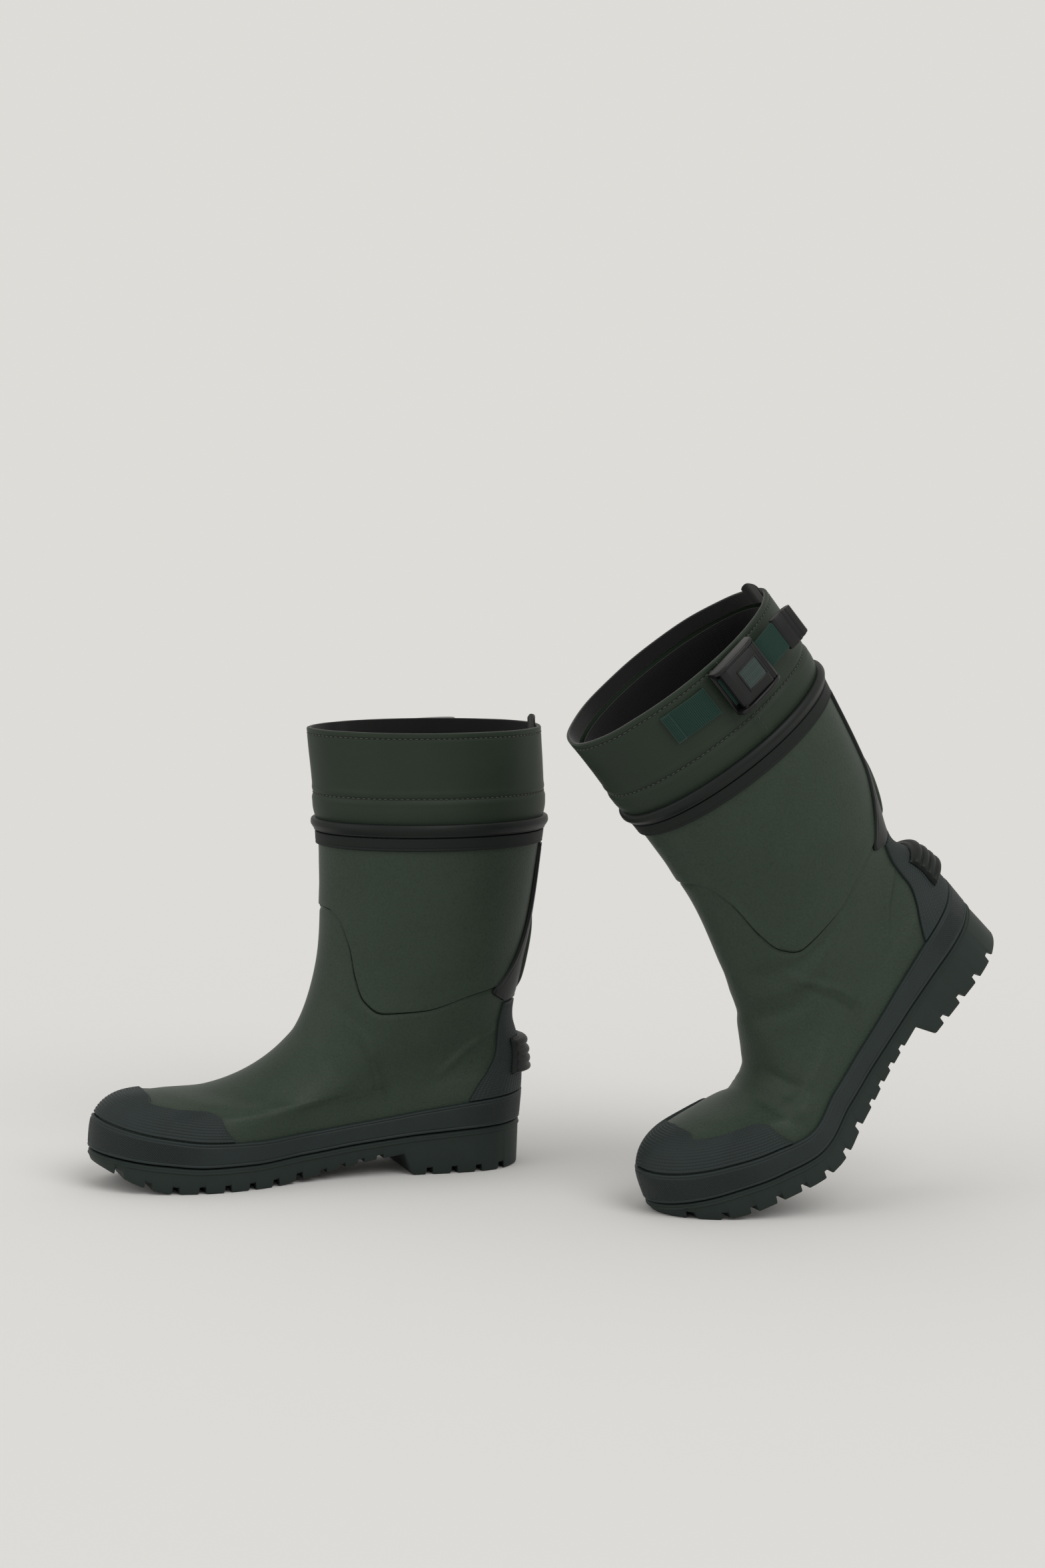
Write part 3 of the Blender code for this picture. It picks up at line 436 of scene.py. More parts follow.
# ---------------------------------------------------------------- materials
def node(tree, kind, inputs=None, **settings):
    """Add a shader node; inputs holds numbers, colours or the sockets that feed it."""
    made = tree.nodes.new(kind)
    for key, value in settings.items():
        setattr(made, key, value)
    for key, value in (inputs or {}).items():
        if isinstance(value, bpy.types.NodeSocket):
            tree.links.new(value, made.inputs[key])
        else:
            made.inputs[key].default_value = value
    return made


def math_node(tree, operation, first, second=0.5):
    return node(tree, "ShaderNodeMath", {0: first, 1: second}, operation=operation).outputs[0]


def ramp(tree, factor, low, high):
    """A smooth 0 to 1 ramp between two values."""
    made = node(tree, "ShaderNodeMapRange", {"Value": factor, "From Min": low, "From Max": high},
                interpolation_type="SMOOTHSTEP")
    return made.outputs["Result"]


def coordinates(tree, flat):
    """Millimetre coordinates: the flat boot's own, or the CAD node's."""
    if flat:
        made = node(tree, "ShaderNodeAttribute", attribute_name="flat", attribute_type="GEOMETRY")
        return made.outputs["Vector"]
    place = node(tree, "ShaderNodeTexCoord").outputs["Object"]
    return node(tree, "ShaderNodeVectorMath", {0: place, 1: (1000.0,) * 3}, operation="MULTIPLY").outputs[0]


def noise(tree, place, size, detail=3.0, roughness=0.55):
    """Noise from 0 to 1 whose features are about size millimetres."""
    return node(tree, "ShaderNodeTexNoise", {"Vector": place, "Scale": 1.0 / size, "Detail": detail,
                                             "Roughness": roughness}).outputs["Fac"]


def cells(tree, place, size):
    """Distance from the middle of rounded cells about size millimetres wide."""
    made = node(tree, "ShaderNodeTexVoronoi", {"Vector": place, "Scale": 1.0 / size}, feature="SMOOTH_F1")
    return made.outputs["Distance"]


def tinted(tree, colour, factor, low, high):
    """The colour times a value that goes from low to high with the factor."""
    scale = node(tree, "ShaderNodeMapRange", {"Value": factor, "To Min": low, "To Max": high})
    mix = node(tree, "ShaderNodeVectorMath", {0: colour, "Scale": scale.outputs["Result"]}, operation="SCALE")
    return mix.outputs[0]


class Look:
    """A material with one principled shader, built up from procedural parts."""

    def __init__(self, name, colour, roughness, specular=0.3, metallic=0.0, flat=True):
        self.material = bpy.data.materials.new(name)
        self.material.use_nodes = True
        self.tree = self.material.node_tree
        self.shader = self.tree.nodes["Principled BSDF"]
        self.place = coordinates(self.tree, flat)
        self.colour = colour
        self.shader.inputs["Base Color"].default_value = (*colour, 1.0)
        self.shader.inputs["Roughness"].default_value = roughness
        self.shader.inputs["Specular IOR Level"].default_value = specular
        self.shader.inputs["Metallic"].default_value = metallic
        self.material.diffuse_color = (*colour, 1.0)
        self.normal = None
        self.socket = None

    def mottle(self, factor, low, high):
        """Darken and lighten the colour by a factor."""
        source = self.colour if self.socket is None else self.socket
        self.socket = tinted(self.tree, source, factor, low, high)
        self.tree.links.new(self.socket, self.shader.inputs["Base Color"])
        return self

    def roughness(self, factor, low, high):
        scale = node(self.tree, "ShaderNodeMapRange", {"Value": factor, "To Min": low, "To Max": high})
        self.tree.links.new(scale.outputs["Result"], self.shader.inputs["Roughness"])
        return self

    def relief(self, height, depth):
        """Bump of the given depth in millimetres."""
        inputs = {"Height": height, "Distance": depth * MM, "Strength": 1.0}
        if self.normal is not None:
            inputs["Normal"] = self.normal
        self.normal = node(self.tree, "ShaderNodeBump", inputs).outputs["Normal"]
        self.tree.links.new(self.normal, self.shader.inputs["Normal"])
        return self

    def sheet(self):
        """Millimetres along the piece, up the piece, and the strength of its pattern."""
        made = node(self.tree, "ShaderNodeAttribute", attribute_name="sheet", attribute_type="GEOMETRY")
        return node(self.tree, "ShaderNodeSeparateXYZ", {0: made.outputs["Vector"]}).outputs


def lines(tree, value, pitch, width):
    """1 on lines at the given pitch, 0 between them."""
    share = math_node(tree, "FRACT", math_node(tree, "DIVIDE", value, pitch))
    away = math_node(tree, "ABSOLUTE", math_node(tree, "SUBTRACT", share, 0.5))
    return ramp(tree, away, 0.5 - width / pitch, 0.5)


def grained_rubber(name, colour):
    """Green rubber with a pebbled, leather-like grain."""
    look = Look(name, colour, 0.5, 0.24)
    tree = look.tree
    warp = node(tree, "ShaderNodeTexNoise", {"Vector": look.place, "Scale": 0.5, "Detail": 2.0})
    shift = node(tree, "ShaderNodeVectorMath", {0: warp.outputs["Color"], "Scale": 1.6}, operation="SCALE")
    moved = node(tree, "ShaderNodeVectorMath", {0: look.place, 1: shift.outputs[0]}).outputs[0]
    pebbles = cells(tree, moved, 1.15)
    fine = noise(tree, look.place, 0.45, 2.0)
    broad = noise(tree, look.place, 26.0, 2.0)
    middle = noise(tree, look.place, 5.0, 3.0)
    look.mottle(pebbles, 1.16, 0.72).mottle(broad, 0.90, 1.10).mottle(middle, 0.93, 1.07)
    look.roughness(fine, 0.42, 0.58)
    look.relief(pebbles, -0.176).relief(fine, 0.055)
    return look.material


def hatched_rubber(name, colour, diagonal):
    """Dark rubber; a diagonal crosshatch where the pattern's strength says so."""
    look = Look(name, colour, 0.5, 0.22)
    tree = look.tree
    fine = noise(tree, look.place, 0.6, 3.0)
    broad = noise(tree, look.place, 18.0, 2.0)
    look.mottle(broad, 0.88, 1.12).mottle(fine, 0.92, 1.08)
    look.roughness(fine, 0.44, 0.60)
    if diagonal:
        a, b, strength = look.sheet()
        first, second = (lines(tree, math_node(tree, operation, a, b), DIAGONAL_PITCH, DIAGONAL_WIDTH)
                         for operation in ("ADD", "SUBTRACT"))
        both = math_node(tree, "MULTIPLY", math_node(tree, "MAXIMUM", first, second), strength)
        look.mottle(both, 1.0, 0.62).relief(both, -0.28)
    look.relief(fine, 0.05)
    return look.material


def moulded_rubber(name, colour, roughness=(0.46, 0.62), flat=True, texture=0.05, size=0.8):
    """Dark moulded rubber with a fine texture of the given depth and size."""
    look = Look(name, colour, 0.55, 0.2, flat=flat)
    tree = look.tree
    fine = noise(tree, look.place, size, 3.0)
    broad = noise(tree, look.place, 14.0, 3.0)
    look.mottle(broad, 0.86, 1.12).mottle(fine, 0.93, 1.07)
    look.roughness(broad, *roughness)
    look.relief(fine, texture)
    return look.material


def coated_cloth(name, colour):
    """Rubber-coated cloth: a faint diagonal weave under a satin coat, with painted shade along the sunk
    stitch lines.
    """
    look = Look(name, colour, 0.5, 0.22)
    tree = look.tree
    a, b, _ = look.sheet()
    height = node(tree, "ShaderNodeSeparateXYZ", {0: look.place}).outputs[2]
    # Painted shade: the colour darkens along each sunk stitch line, standing in for the shade in its groove.
    for stitch_z in (COLLAR_STITCH_Z, HEM_STITCH_Z):
        away = math_node(tree, "ABSOLUTE", math_node(tree, "SUBTRACT", height, stitch_z))
        look.mottle(ramp(tree, away, 0.25, 0.9), 0.25, 1.0)
    twill = lines(tree, math_node(tree, "ADD", a, math_node(tree, "MULTIPLY", b, 0.9)), 1.1, 0.45)
    cross = lines(tree, math_node(tree, "SUBTRACT", a, math_node(tree, "MULTIPLY", b, 1.1)), 1.7, 0.5)
    weave = math_node(tree, "ADD", twill, math_node(tree, "MULTIPLY", cross, 0.5))
    broad = noise(tree, look.place, 20.0, 3.0)
    fine = noise(tree, look.place, 0.7, 3.0)
    look.mottle(broad, 0.90, 1.10).mottle(weave, 1.03, 0.93).mottle(fine, 0.95, 1.05)
    look.roughness(broad, 0.46, 0.56)
    look.relief(weave, -0.035).relief(fine, 0.03)
    return look.material


def woven(name, colour, pitch, depth, roughness=0.85, sheen=0.25):
    """Plain woven or knitted cloth."""
    look = Look(name, colour, roughness, 0.2)
    tree = look.tree
    x, y, z = node(tree, "ShaderNodeSeparateXYZ", {0: look.place}).outputs
    first = lines(tree, math_node(tree, "ADD", x, y), pitch, pitch * 0.45)
    second = lines(tree, z, pitch, pitch * 0.45)
    weave = math_node(tree, "MAXIMUM", first, second)
    fine = noise(tree, look.place, 0.5, 2.0)
    broad = noise(tree, look.place, 12.0, 2.0)
    look.mottle(weave, 1.08, 0.70).mottle(fine, 0.85, 1.15).mottle(broad, 0.9, 1.1)
    look.relief(weave, -depth).relief(fine, depth * 0.5)
    look.shader.inputs["Sheen Weight"].default_value = sheen
    look.shader.inputs["Sheen Roughness"].default_value = 0.5
    return look.material


def webbing_look(name, colour):
    """Ribbed webbing, lighter on the ribs, with fine yarns across them."""
    look = Look(name, colour, 0.8, 0.15)
    tree = look.tree
    a, b, _ = look.sheet()
    grooves = lines(tree, a, RIB_PITCH, 0.36)
    yarns = lines(tree, b, 0.55, 0.2)
    fine = noise(tree, look.place, 0.4, 2.0)
    look.mottle(grooves, 1.35, 0.30).mottle(yarns, 1.05, 0.88).mottle(fine, 0.8, 1.2)
    look.relief(yarns, -0.06).relief(fine, 0.05)
    look.shader.inputs["Sheen Weight"].default_value = 0.15
    return look.material


def plastic(name, colour):
    """Moulded plastic, satin, with a slight unevenness."""
    look = Look(name, colour, 0.36, 0.30)
    fine = noise(look.tree, look.place, 0.35, 2.0)
    broad = noise(look.tree, look.place, 6.0, 3.0)
    look.mottle(broad, 0.85, 1.15)
    look.roughness(broad, 0.30, 0.42)
    look.relief(fine, 0.02)
    return look.material


def brushed_metal(name):
    """Bare steel with streaks along it."""
    look = Look(name, (0.55, 0.55, 0.56), 0.35, 0.5, 1.0, flat=False)
    stretched = node(look.tree, "ShaderNodeVectorMath", {0: look.place, 1: (0.2, 6.0, 6.0)},
                     operation="MULTIPLY").outputs[0]
    streaks = noise(look.tree, stretched, 1.0, 3.0)
    look.mottle(streaks, 0.85, 1.1)
    look.roughness(streaks, 0.25, 0.45)
    return look.material


def speckled(name, colour, size, low, high, flat=True):
    """Foam or fibre board: a matt surface with fine specks."""
    look = Look(name, colour, 0.9, 0.15, flat=flat)
    specks = noise(look.tree, look.place, size, 4.0, 0.7)
    look.mottle(specks, low, high).relief(specks, 0.15)
    return look.material


def window_look(name, colour):
    """The clear pane of the buckle over the ribs of the webbing."""
    look = Look(name, colour, 0.12, 0.35)
    tree = look.tree
    a, b, _ = look.sheet()
    grooves = lines(tree, a, RIB_PITCH, 0.4)
    across = lines(tree, b, 4.2, 0.35)
    look.mottle(grooves, 1.25, 0.55).mottle(across, 1.0, 1.5)
    look.roughness(noise(tree, look.place, 5.0), 0.08, 0.18)
    look.shader.inputs["Coat Weight"].default_value = 0.25
    look.shader.inputs["Coat Roughness"].default_value = 0.05
    return look.material


GREEN = (0.0235, 0.0380, 0.0255)
COLLAR_GREEN = (0.0155, 0.0262, 0.0162)
BLUE_BLACK = (0.0165, 0.0246, 0.0240)
SOLE_COLOUR = (0.0158, 0.0240, 0.0208)
BAND_COLOUR = (0.0072, 0.0098, 0.0088)
PATCH_COLOUR = (0.0330, 0.0440, 0.0350)
CLOTH_BLACK = (0.0060, 0.0060, 0.0065)
LINING_BLACK = (0.0050, 0.0050, 0.0055)
WEBBING_GREEN = (0.0070, 0.0270, 0.0205)
PLASTIC_BLACK = (0.0065, 0.0065, 0.0070)
WINDOW_GREEN = (0.0150, 0.0300, 0.0265)
THREAD_GREEN = (0.0480, 0.0640, 0.0440)
FOAM_GREY = (0.12, 0.12, 0.11)
BOARD_BROWN = (0.35, 0.26, 0.17)

LOOKS = {
    "vamp": grained_rubber("grained green rubber", GREEN),
    "hatch": hatched_rubber("hatched dark rubber", BLUE_BLACK, False),
    "foxing": hatched_rubber("diagonally hatched dark rubber", BLUE_BLACK, True),
    "sole": moulded_rubber("moulded sole rubber", SOLE_COLOUR),
    "band": moulded_rubber("smooth dark rubber", BAND_COLOUR, (0.40, 0.52)),
    "band_textured": moulded_rubber("textured dark rubber", BAND_COLOUR, (0.55, 0.7), texture=0.16,
                                    size=0.55),
    "patch": moulded_rubber("smooth green rubber", PATCH_COLOUR, (0.36, 0.48)),
    "collar": coated_cloth("rubber coated cloth", COLLAR_GREEN),
    "black_cloth": woven("black woven tape", CLOTH_BLACK, 0.7, 0.06),
    "lining": woven("black lining knit", LINING_BLACK, 1.6, 0.14, sheen=0.1),
    "webbing": webbing_look("ribbed green webbing", WEBBING_GREEN),
    "plastic": plastic("moulded black plastic", PLASTIC_BLACK),
    "window": window_look("clear window over webbing", WINDOW_GREEN),
    "thread": woven("sewing thread", THREAD_GREEN, 0.5, 0.04, roughness=0.7),
    "foam": speckled("grey foam", FOAM_GREY, 0.8, 0.8, 1.15),
    "board": speckled("fibre board", BOARD_BROWN, 1.4, 0.75, 1.2),
    "cad_board": speckled("fibre board of the stiffeners", BOARD_BROWN, 1.4, 0.75, 1.2, flat=False),
    "cad_steel": brushed_metal("brushed steel"),
    "cad_webbing": moulded_rubber("webbing of the anchor", WEBBING_GREEN, flat=False, texture=0.12),
}

# The look and the material slot of each piece made here.
FINISH = {
    "outsole": ("sole", "sole_rubber"),
    "midsole": ("foam", "foam"),
    "insole_board": ("board", "board"),
    "footbed": ("lining", "lining_cloth"),
    "lining": ("lining", "lining_cloth"),
    "foxing_strip": ("foxing", "blue_black_rubber"),
    "toe_cap": ("hatch", "blue_black_rubber"),
    "heel_counter": ("hatch", "blue_black_rubber"),
    "kick_spur": ("band", "black_rubber"),
    "back_stay": ("band", "black_rubber"),
    "rear_patch": ("patch", "patch_rubber"),
    "vamp": ("vamp", "green_rubber"),
    "leg_panel": ("vamp", "green_rubber"),
    "top_bead": ("band", "black_rubber"),
    "under_band": ("band_textured", "black_rubber"),
    "collar": ("collar", "collar_cloth"),
    "collar_stitches": ("thread", "collar_cloth"),
    "rim_hem": ("black_cloth", "black_cloth"),
    "label_tab": ("black_cloth", "black_cloth"),
    "cinch_strap": ("webbing", "webbing"),
    "strap_tail": ("webbing", "webbing"),
    "strap_tip": ("plastic", "black_plastic"),
    "buckle_frame": ("plastic", "black_plastic"),
    "buckle_lever": ("plastic", "black_plastic"),
    "lever_window": ("window", "window_plastic"),
}


# ---------------------------------------------------------------- foot
# Moulded ridges and creases of the vamp and leg: points (s, z), height, half width; groups by boot.
RIDGES = {
    "both": ((((122, 108), (111, 91), (103, 72), (98, 52)), 1.7, 2.8),
             (((118, 92), (108, 76), (103, 58)), -0.8, 2.6),
             (((18, 96), (40, 84), (63, 64)), 1.4, 2.6)),
    "right": ((((131, 120), (117, 102), (108, 84)), -0.9, 3.6),
              (((150, 96), (138, 84), (126, 66)), -0.5, 5.0)),
    "left": ((((140, 116), (114, 106), (84, 106), (56, 112)), -1.6, 4.6),
             (((152, 94), (128, 86), (102, 90)), -1.5, 4.2),
             (((144, 104), (118, 96), (92, 98), (68, 107)), 1.5, 4.2),
             (((176, 72), (170, 58), (160, 44)), -1.3, 4.6),
             (((190, 68), (186, 54), (178, 40)), 1.0, 4.2),
             (((203, 64), (198, 52), (192, 40)), -1.0, 4.2),
             (((134, 70), (150, 62), (172, 50)), 0.9, 4.5),
             (((66, 134), (88, 121), (114, 117)), 0.9, 5.5)),
}


def ridge_lift(side, theta, v):
    """How far the moulded ridges and creases stand out of the skin."""
    points = upper(theta, v)
    s, z = points[..., 1], points[..., 2]
    lift = np.zeros(s.shape)
    for line, height, half_width in RIDGES["both"] + RIDGES[side]:
        near = np.full(s.shape, 1e9)
        total = sum(math.dist(line[k], line[k + 1]) for k in range(len(line) - 1))
        along, done = np.zeros(s.shape), 0.0
        for (s0, z0), (s1, z1) in zip(line[:-1], line[1:]):
            ds, dz = s1 - s0, z1 - z0
            length = math.hypot(ds, dz)
            t = np.clip(((s - s0) * ds + (z - z0) * dz) / length ** 2, 0, 1)
            away = np.hypot(s - s0 - t * ds, z - z0 - t * dz)
            along = np.where(away < near, (done + t * length) / total, along)
            near = np.minimum(near, away)
            done += length
        fade = np.clip(np.sin(np.pi * along), 0, 1) ** 0.5
        lift += height * fade * np.exp(-(near / half_width) ** 2)
    return lift * smoothstep(v, 1.05, 1.6)


def make_vamp(side):
    """The green foot of the boot, whose top edge tucks in at the seam with the leg."""
    theta, v = ring_grid(ring_line(0.0), seam_line(-0.2), 110, 240)
    _, top = from_edges(theta, v)
    lift = ridge_lift(side, theta, v) * smoothstep(top, 0, 5) - SEAM_TUCK * (1 - rounded(top, SEAM_TUCK))
    made = sheet_piece(side, "vamp", theta, v, lift, -SHELL_THICKNESS, True, None)
    bend_with_ball(made)


def make_leg_panel(side):
    """The green leg, raised along its lower seam, with slight waves in the rubber."""
    theta, v = ring_grid(seam_line(0.3), level(COLLAR_BOTTOM_Z - 0.4), 100, 240)
    b, _ = from_edges(theta, v)
    z = upper(theta, v)[..., 2]
    lift = -0.9 + 1.6 * rounded(b, 1.0) - 0.7 * smoothstep(b, 2, 16)
    lift = lift + ridge_lift(side, theta, v) * smoothstep(b, 0, 5)
    waves = 0.35 * np.sin(3 * theta + 1.0) * bump(z, 190, 24) + 0.25 * np.sin(5 * theta) * bump(z, 160, 16)
    lift = lift + waves * smoothstep(b, 2, 14) * (1 - smoothstep(z, 205, 216))
    sheet_piece(side, "leg_panel", theta, v, lift, -SHELL_THICKNESS, True)


def make_foxing(side):
    """The strip round the foot: a moulded line along each edge, and its hatch strongest at toe and heel."""
    theta, v = ring_grid(ring_line(0.02), ring_line(1.0), 40, 400)
    b, top = from_edges(theta, v)
    thick = FOXING_THICKNESS * rounded(np.minimum(b, top), 0.9)
    line = -0.5 * (bump(b, 2.2, 0.35) + bump(top, 2.0, 0.35))
    s = upper(theta, v)[..., 1]
    strength = np.maximum(smoothstep(s, 205, 250), 1 - smoothstep(s, 15, 60)) * 0.9 + 0.18
    inside = smoothstep(b, 2.6, 3.4) * smoothstep(top, 2.4, 3.2)
    made = sheet_piece(side, "foxing_strip", theta, v, LAYER_GAP + 0.05 + np.maximum(thick + line, 0.1),
                       UNDERSIDE, True, None, strength * inside)
    bend_with_ball(made)


def hatch_relief(a, b, depth, edge):
    """A square crosshatch of grooves, fading out at the edge of the piece."""
    def groove(x):
        away = np.abs((x / HATCH_PITCH + 0.5) % 1 - 0.5) * HATCH_PITCH
        return np.exp(-(away / HATCH_GROOVE) ** 2)

    return -depth * np.maximum(groove(a), groove(b)) * smoothstep(edge, 0.5, 1.3)


def make_toe_cap(side):
    """The hatched toe overlay with its wavy edge."""
    columns, rows = 420, 100
    even = np.radians(np.linspace(-CAP_HALF_ANGLE, CAP_HALF_ANGLE, 500))
    step = np.linalg.norm(np.diff(upper(even, np.full(even.shape, 1.5)), axis=0), axis=-1)
    length = np.concatenate(([0], np.cumsum(step)))
    a = np.linspace(0, length[-1], columns)
    angles = np.interp(a, length, even)
    low, share = 1.04, np.linspace(0, 1, rows)
    high = np.maximum(cap_edge(np.degrees(np.abs(angles))), low + 0.03)
    v = low * (1 - share) + high[:, None] * share
    theta = np.repeat(angles[:, None], rows, axis=1)
    _, b = arc_lengths(upper(theta, v))
    edge = edge_distance(theta, v)
    lift = LAYER_GAP + OVERLAY_THICKNESS * rounded(edge, 0.8) + hatch_relief(a[:, None], b, HATCH_DEPTH, edge)
    sheet_piece(side, "toe_cap", theta, v, lift, UNDERSIDE, False, "forefoot", sharp=80)


def fan_grid(half_angles, rows, columns, low_v=None):
    """A grid centred on the back, as wide at each height as the keys (z, half angle) say."""
    low_z, high_z = half_angles[0][0], half_angles[-1][0]
    heights = np.linspace(low_z, high_z, columns)
    half = np.radians(curve_through(half_angles)(heights))
    theta = math.pi + half[None, :] * np.linspace(-1, 1, rows)[:, None]
    if low_v is None:
        return theta, ring_at_height(theta, np.repeat(heights[None, :], rows, axis=0))
    high_v = ring_at_height(theta, np.full(theta.shape, float(high_z)))
    return theta, low_v + (high_v - low_v) * np.linspace(0, 1, columns)[None, :]


def make_heel_counter(side):
    """The hatched heel overlay."""
    theta, v = fan_grid(COUNTER_HALF_ANGLE, 270, 170, 1.03)
    a, b = arc_lengths(upper(theta, v))
    edge = edge_distance(theta, v)
    lift = LAYER_GAP + OVERLAY_THICKNESS * rounded(edge, 0.8) + hatch_relief(a, b, HATCH_DEPTH * 0.8, edge)
    sheet_piece(side, "heel_counter", theta, v, lift, UNDERSIDE, False, sharp=80)


def make_back_stay(side):
    """The dark strip up the back of the leg, with a moulded line inside its edge."""
    theta, v = fan_grid(STAY_HALF_ANGLE, 80, 140)
    edge = edge_distance(theta, v)
    lift = LAYER_GAP + 1.1 * rounded(edge, 1.0) - 0.35 * bump(edge, 3.2, 0.45)
    sheet_piece(side, "back_stay", theta, v, lift, UNDERSIDE, False)


def make_rear_patch(side):
    """The lens-shaped patch on the back stay."""
    theta, v = fan_grid(PATCH_HALF_ANGLE, 50, 70)
    base = 2 * LAYER_GAP
    lift = base + 1.0 + rounded(edge_distance(theta, v), 1.8)
    sheet_piece(side, "rear_patch", theta, v, lift, base + 0.2, False)


def cut_corners(profile, times):
    """Round the corners of an open line of points."""
    points = np.array(profile, float)
    for _ in range(times):
        near = points[:-1] * 0.75 + points[1:] * 0.25
        far = points[:-1] * 0.25 + points[1:] * 0.75
        inner = np.stack((near, far), axis=1).reshape(-1, points.shape[1])
        points = np.concatenate((points[:1], inner, points[-1:]))
    return points


def make_kick_spur(side):
    """The ribbed ledge at the back of the heel."""
    base = LAYER_GAP + OVERLAY_THICKNESS
    foot = base + LAYER_GAP
    low_z, high_z = SPUR_Z
    pitch = (high_z - low_z) / SPUR_RIBS
    profile = [(low_z, foot - 0.2), (low_z + 0.05, foot + 1.0)]
    for rib in range(SPUR_RIBS):
        start, shorter = low_z + rib * pitch, 0.5 * rib
        profile += [(start + 0.8, foot + SPUR_DEPTH), (start + pitch - 2.2, foot + SPUR_DEPTH - shorter),
                    (start + pitch - 1.6, foot + 3.2 - shorter)]
    profile += [(high_z, foot + 0.8), (high_z + 0.05, foot - 0.2)]
    heights, lifts = cut_corners(profile, 2).T
    half = math.radians(SPUR_HALF_ANGLE)
    theta = np.repeat(math.pi + np.linspace(-half, half, 61)[:, None], len(heights), axis=1)
    share = np.abs(theta - math.pi) / half
    taper = (1 - 0.45 * share ** 3) * rounded((1 - share) * SPUR_HALF_ANGLE, 1.6)
    v = ring_at_height(theta, np.repeat(heights[None, :], len(theta), axis=0))
    lift = foot - 0.4 + (lifts - foot + 0.4) * np.maximum(taper, 0.03)
    sheet_piece(side, "kick_spur", theta, v, lift, base, False, sharp=35)


# ---------------------------------------------------------------- sole
def sole_outline(lift):
    """The sole's edge widened by lift: for each side, x by s."""
    theta = np.linspace(0, 2 * math.pi, 721)
    edge = upper(theta, np.full(theta.shape, 0.02))[:, :2]
    along = np.gradient(edge, axis=0)
    along[0] = along[-1] = edge[1] - edge[-2]
    normal = np.stack((along[:, 1], -along[:, 0]), axis=-1)
    normal /= np.linalg.norm(normal, axis=-1, keepdims=True)
    middle = edge.mean(axis=0)
    outward = np.sign(((edge - middle) * normal).sum(axis=1, keepdims=True))
    edge = edge + normal * outward * lift
    lateral, medial = edge[:361], edge[360:]
    return lateral[np.argsort(lateral[:, 1])], medial[np.argsort(medial[:, 1])]


BASE_EDGE = sole_outline(0.0)
SOLE_BACK, SOLE_FRONT = BASE_EDGE[0][0, 1], BASE_EDGE[0][-1, 1]


def edge_points(stations, lift, lateral):
    """Edge points (x, s) at the stations, which stretch a little at both ends to reach the widened edge."""
    line = sole_outline(lift)[0 if lateral else 1]
    ahead = smoothstep(stations, SOLE_FRONT - 14, SOLE_FRONT)
    behind = 1 - smoothstep(stations, SOLE_BACK, SOLE_BACK + 14)
    s = np.clip(stations + lift * ahead - lift * behind, line[0, 1], line[-1, 1])
    return np.interp(s, line[:, 1], line[:, 0]), s


def sole_profile():
    """Stations along the sole, with the height of the ground side at each."""
    middle, half = (SOLE_FRONT + SOLE_BACK) / 2, (SOLE_FRONT - SOLE_BACK) / 2
    grooves = HEEL_GROOVES + WAIST_GROOVES + FOREFOOT_GROOVES
    even = [middle + half * math.cos(turned) for turned in np.linspace(0, math.pi, 66)]
    breast_s, breast_z = zip(*HEEL_BREAST)
    stations = [(s, 0.0) for s in even
                if all(abs(s - groove) > 3.3 for groove in grooves) and not 74.5 < s < 86]
    stations += [(groove + ds, cut) for groove in grooves for ds, cut in GROOVE_SHAPE]
    stations += [(s, 0.0) for s in breast_s] + [(breast_s[-1] + 1.0, 0.0)]
    s, cut = np.array(sorted(stations)).T
    cut = cut * LUG_DEPTH
    cut = np.where((s > 84) & (s < 148), cut * 0.6, cut)
    ground = np.where(s <= breast_s[-1], np.interp(s, breast_s, breast_z), forefoot_ground(s)) + cut
    return s, np.minimum(ground, sole_top(s) - 3.0)


def make_outsole(side):
    """The lugged sole: one section at each station, with a channel down the middle of its ground side."""
    s, ground = sole_profile()
    top = sole_top(s)
    room = top - ground
    scale = np.minimum(1.0, room / 8.0)
    under_rib = top - 3.9 * scale
    rows = [(-6.0, top), (0.6, top), (1.5, top - 0.4 * scale), (2.0, top - 1.1 * scale),
            (1.9, top - 2.3 * scale), (2.45, top - 2.8 * scale), (2.45, top - 3.4 * scale), (1.8, under_rib),
            (1.5, under_rib - (room - 5.5 * scale) * 0.5), (1.1, ground + 1.6 * scale),
            (0.7, ground + 0.6 * scale), (-0.3, ground), (-5.0, ground)]
    channel = np.minimum(2.2, np.maximum(room - 3.2, 0.0))
    channel = channel * smoothstep(s, 4, 10) * (1 - smoothstep(s, 268, 276))
    lateral_x, medial_x = edge_points(s, 0.0, True)[0], edge_points(s, 0.0, False)[0]
    centre = (lateral_x + medial_x) / 2
    wide = np.minimum(1.0, np.abs(lateral_x - centre) / 22.0)
    section = [np.stack((*edge_points(s, lift, True), z), axis=-1) for lift, z in rows]
    for offset, raised in ((4.2, 0.0), (3.2, 1.0), (-3.2, 1.0), (-4.2, 0.0)):
        deep = ground + np.where(np.abs(s - 80.5) < 6, 0.0, channel * raised)
        section.append(np.stack((centre + offset * wide, s, np.minimum(deep, top - 2.5)), axis=-1))
    section += [np.stack((*edge_points(s, lift, False), z), axis=-1) for lift, z in reversed(rows)]
    points = np.stack(section, axis=1)
    stations, around = points.shape[:2]
    flat = points.reshape(-1, 3)
    i = np.arange(stations - 1)[:, None] * around
    j = np.arange(around)
    following = (j + 1) % around
    quads = np.stack((i + j, i + following, i + around + following, i + around + j), axis=-1).reshape(-1, 4)
    caps = np.stack((j[::-1], (stations - 1) * around + j))
    mesh = mesh_from(f"{side}_outsole_surface", to_world(side, flat), [quads, caps], flat, sharp=32)
    bend_with_ball(piece(side, "outsole", mesh, None))


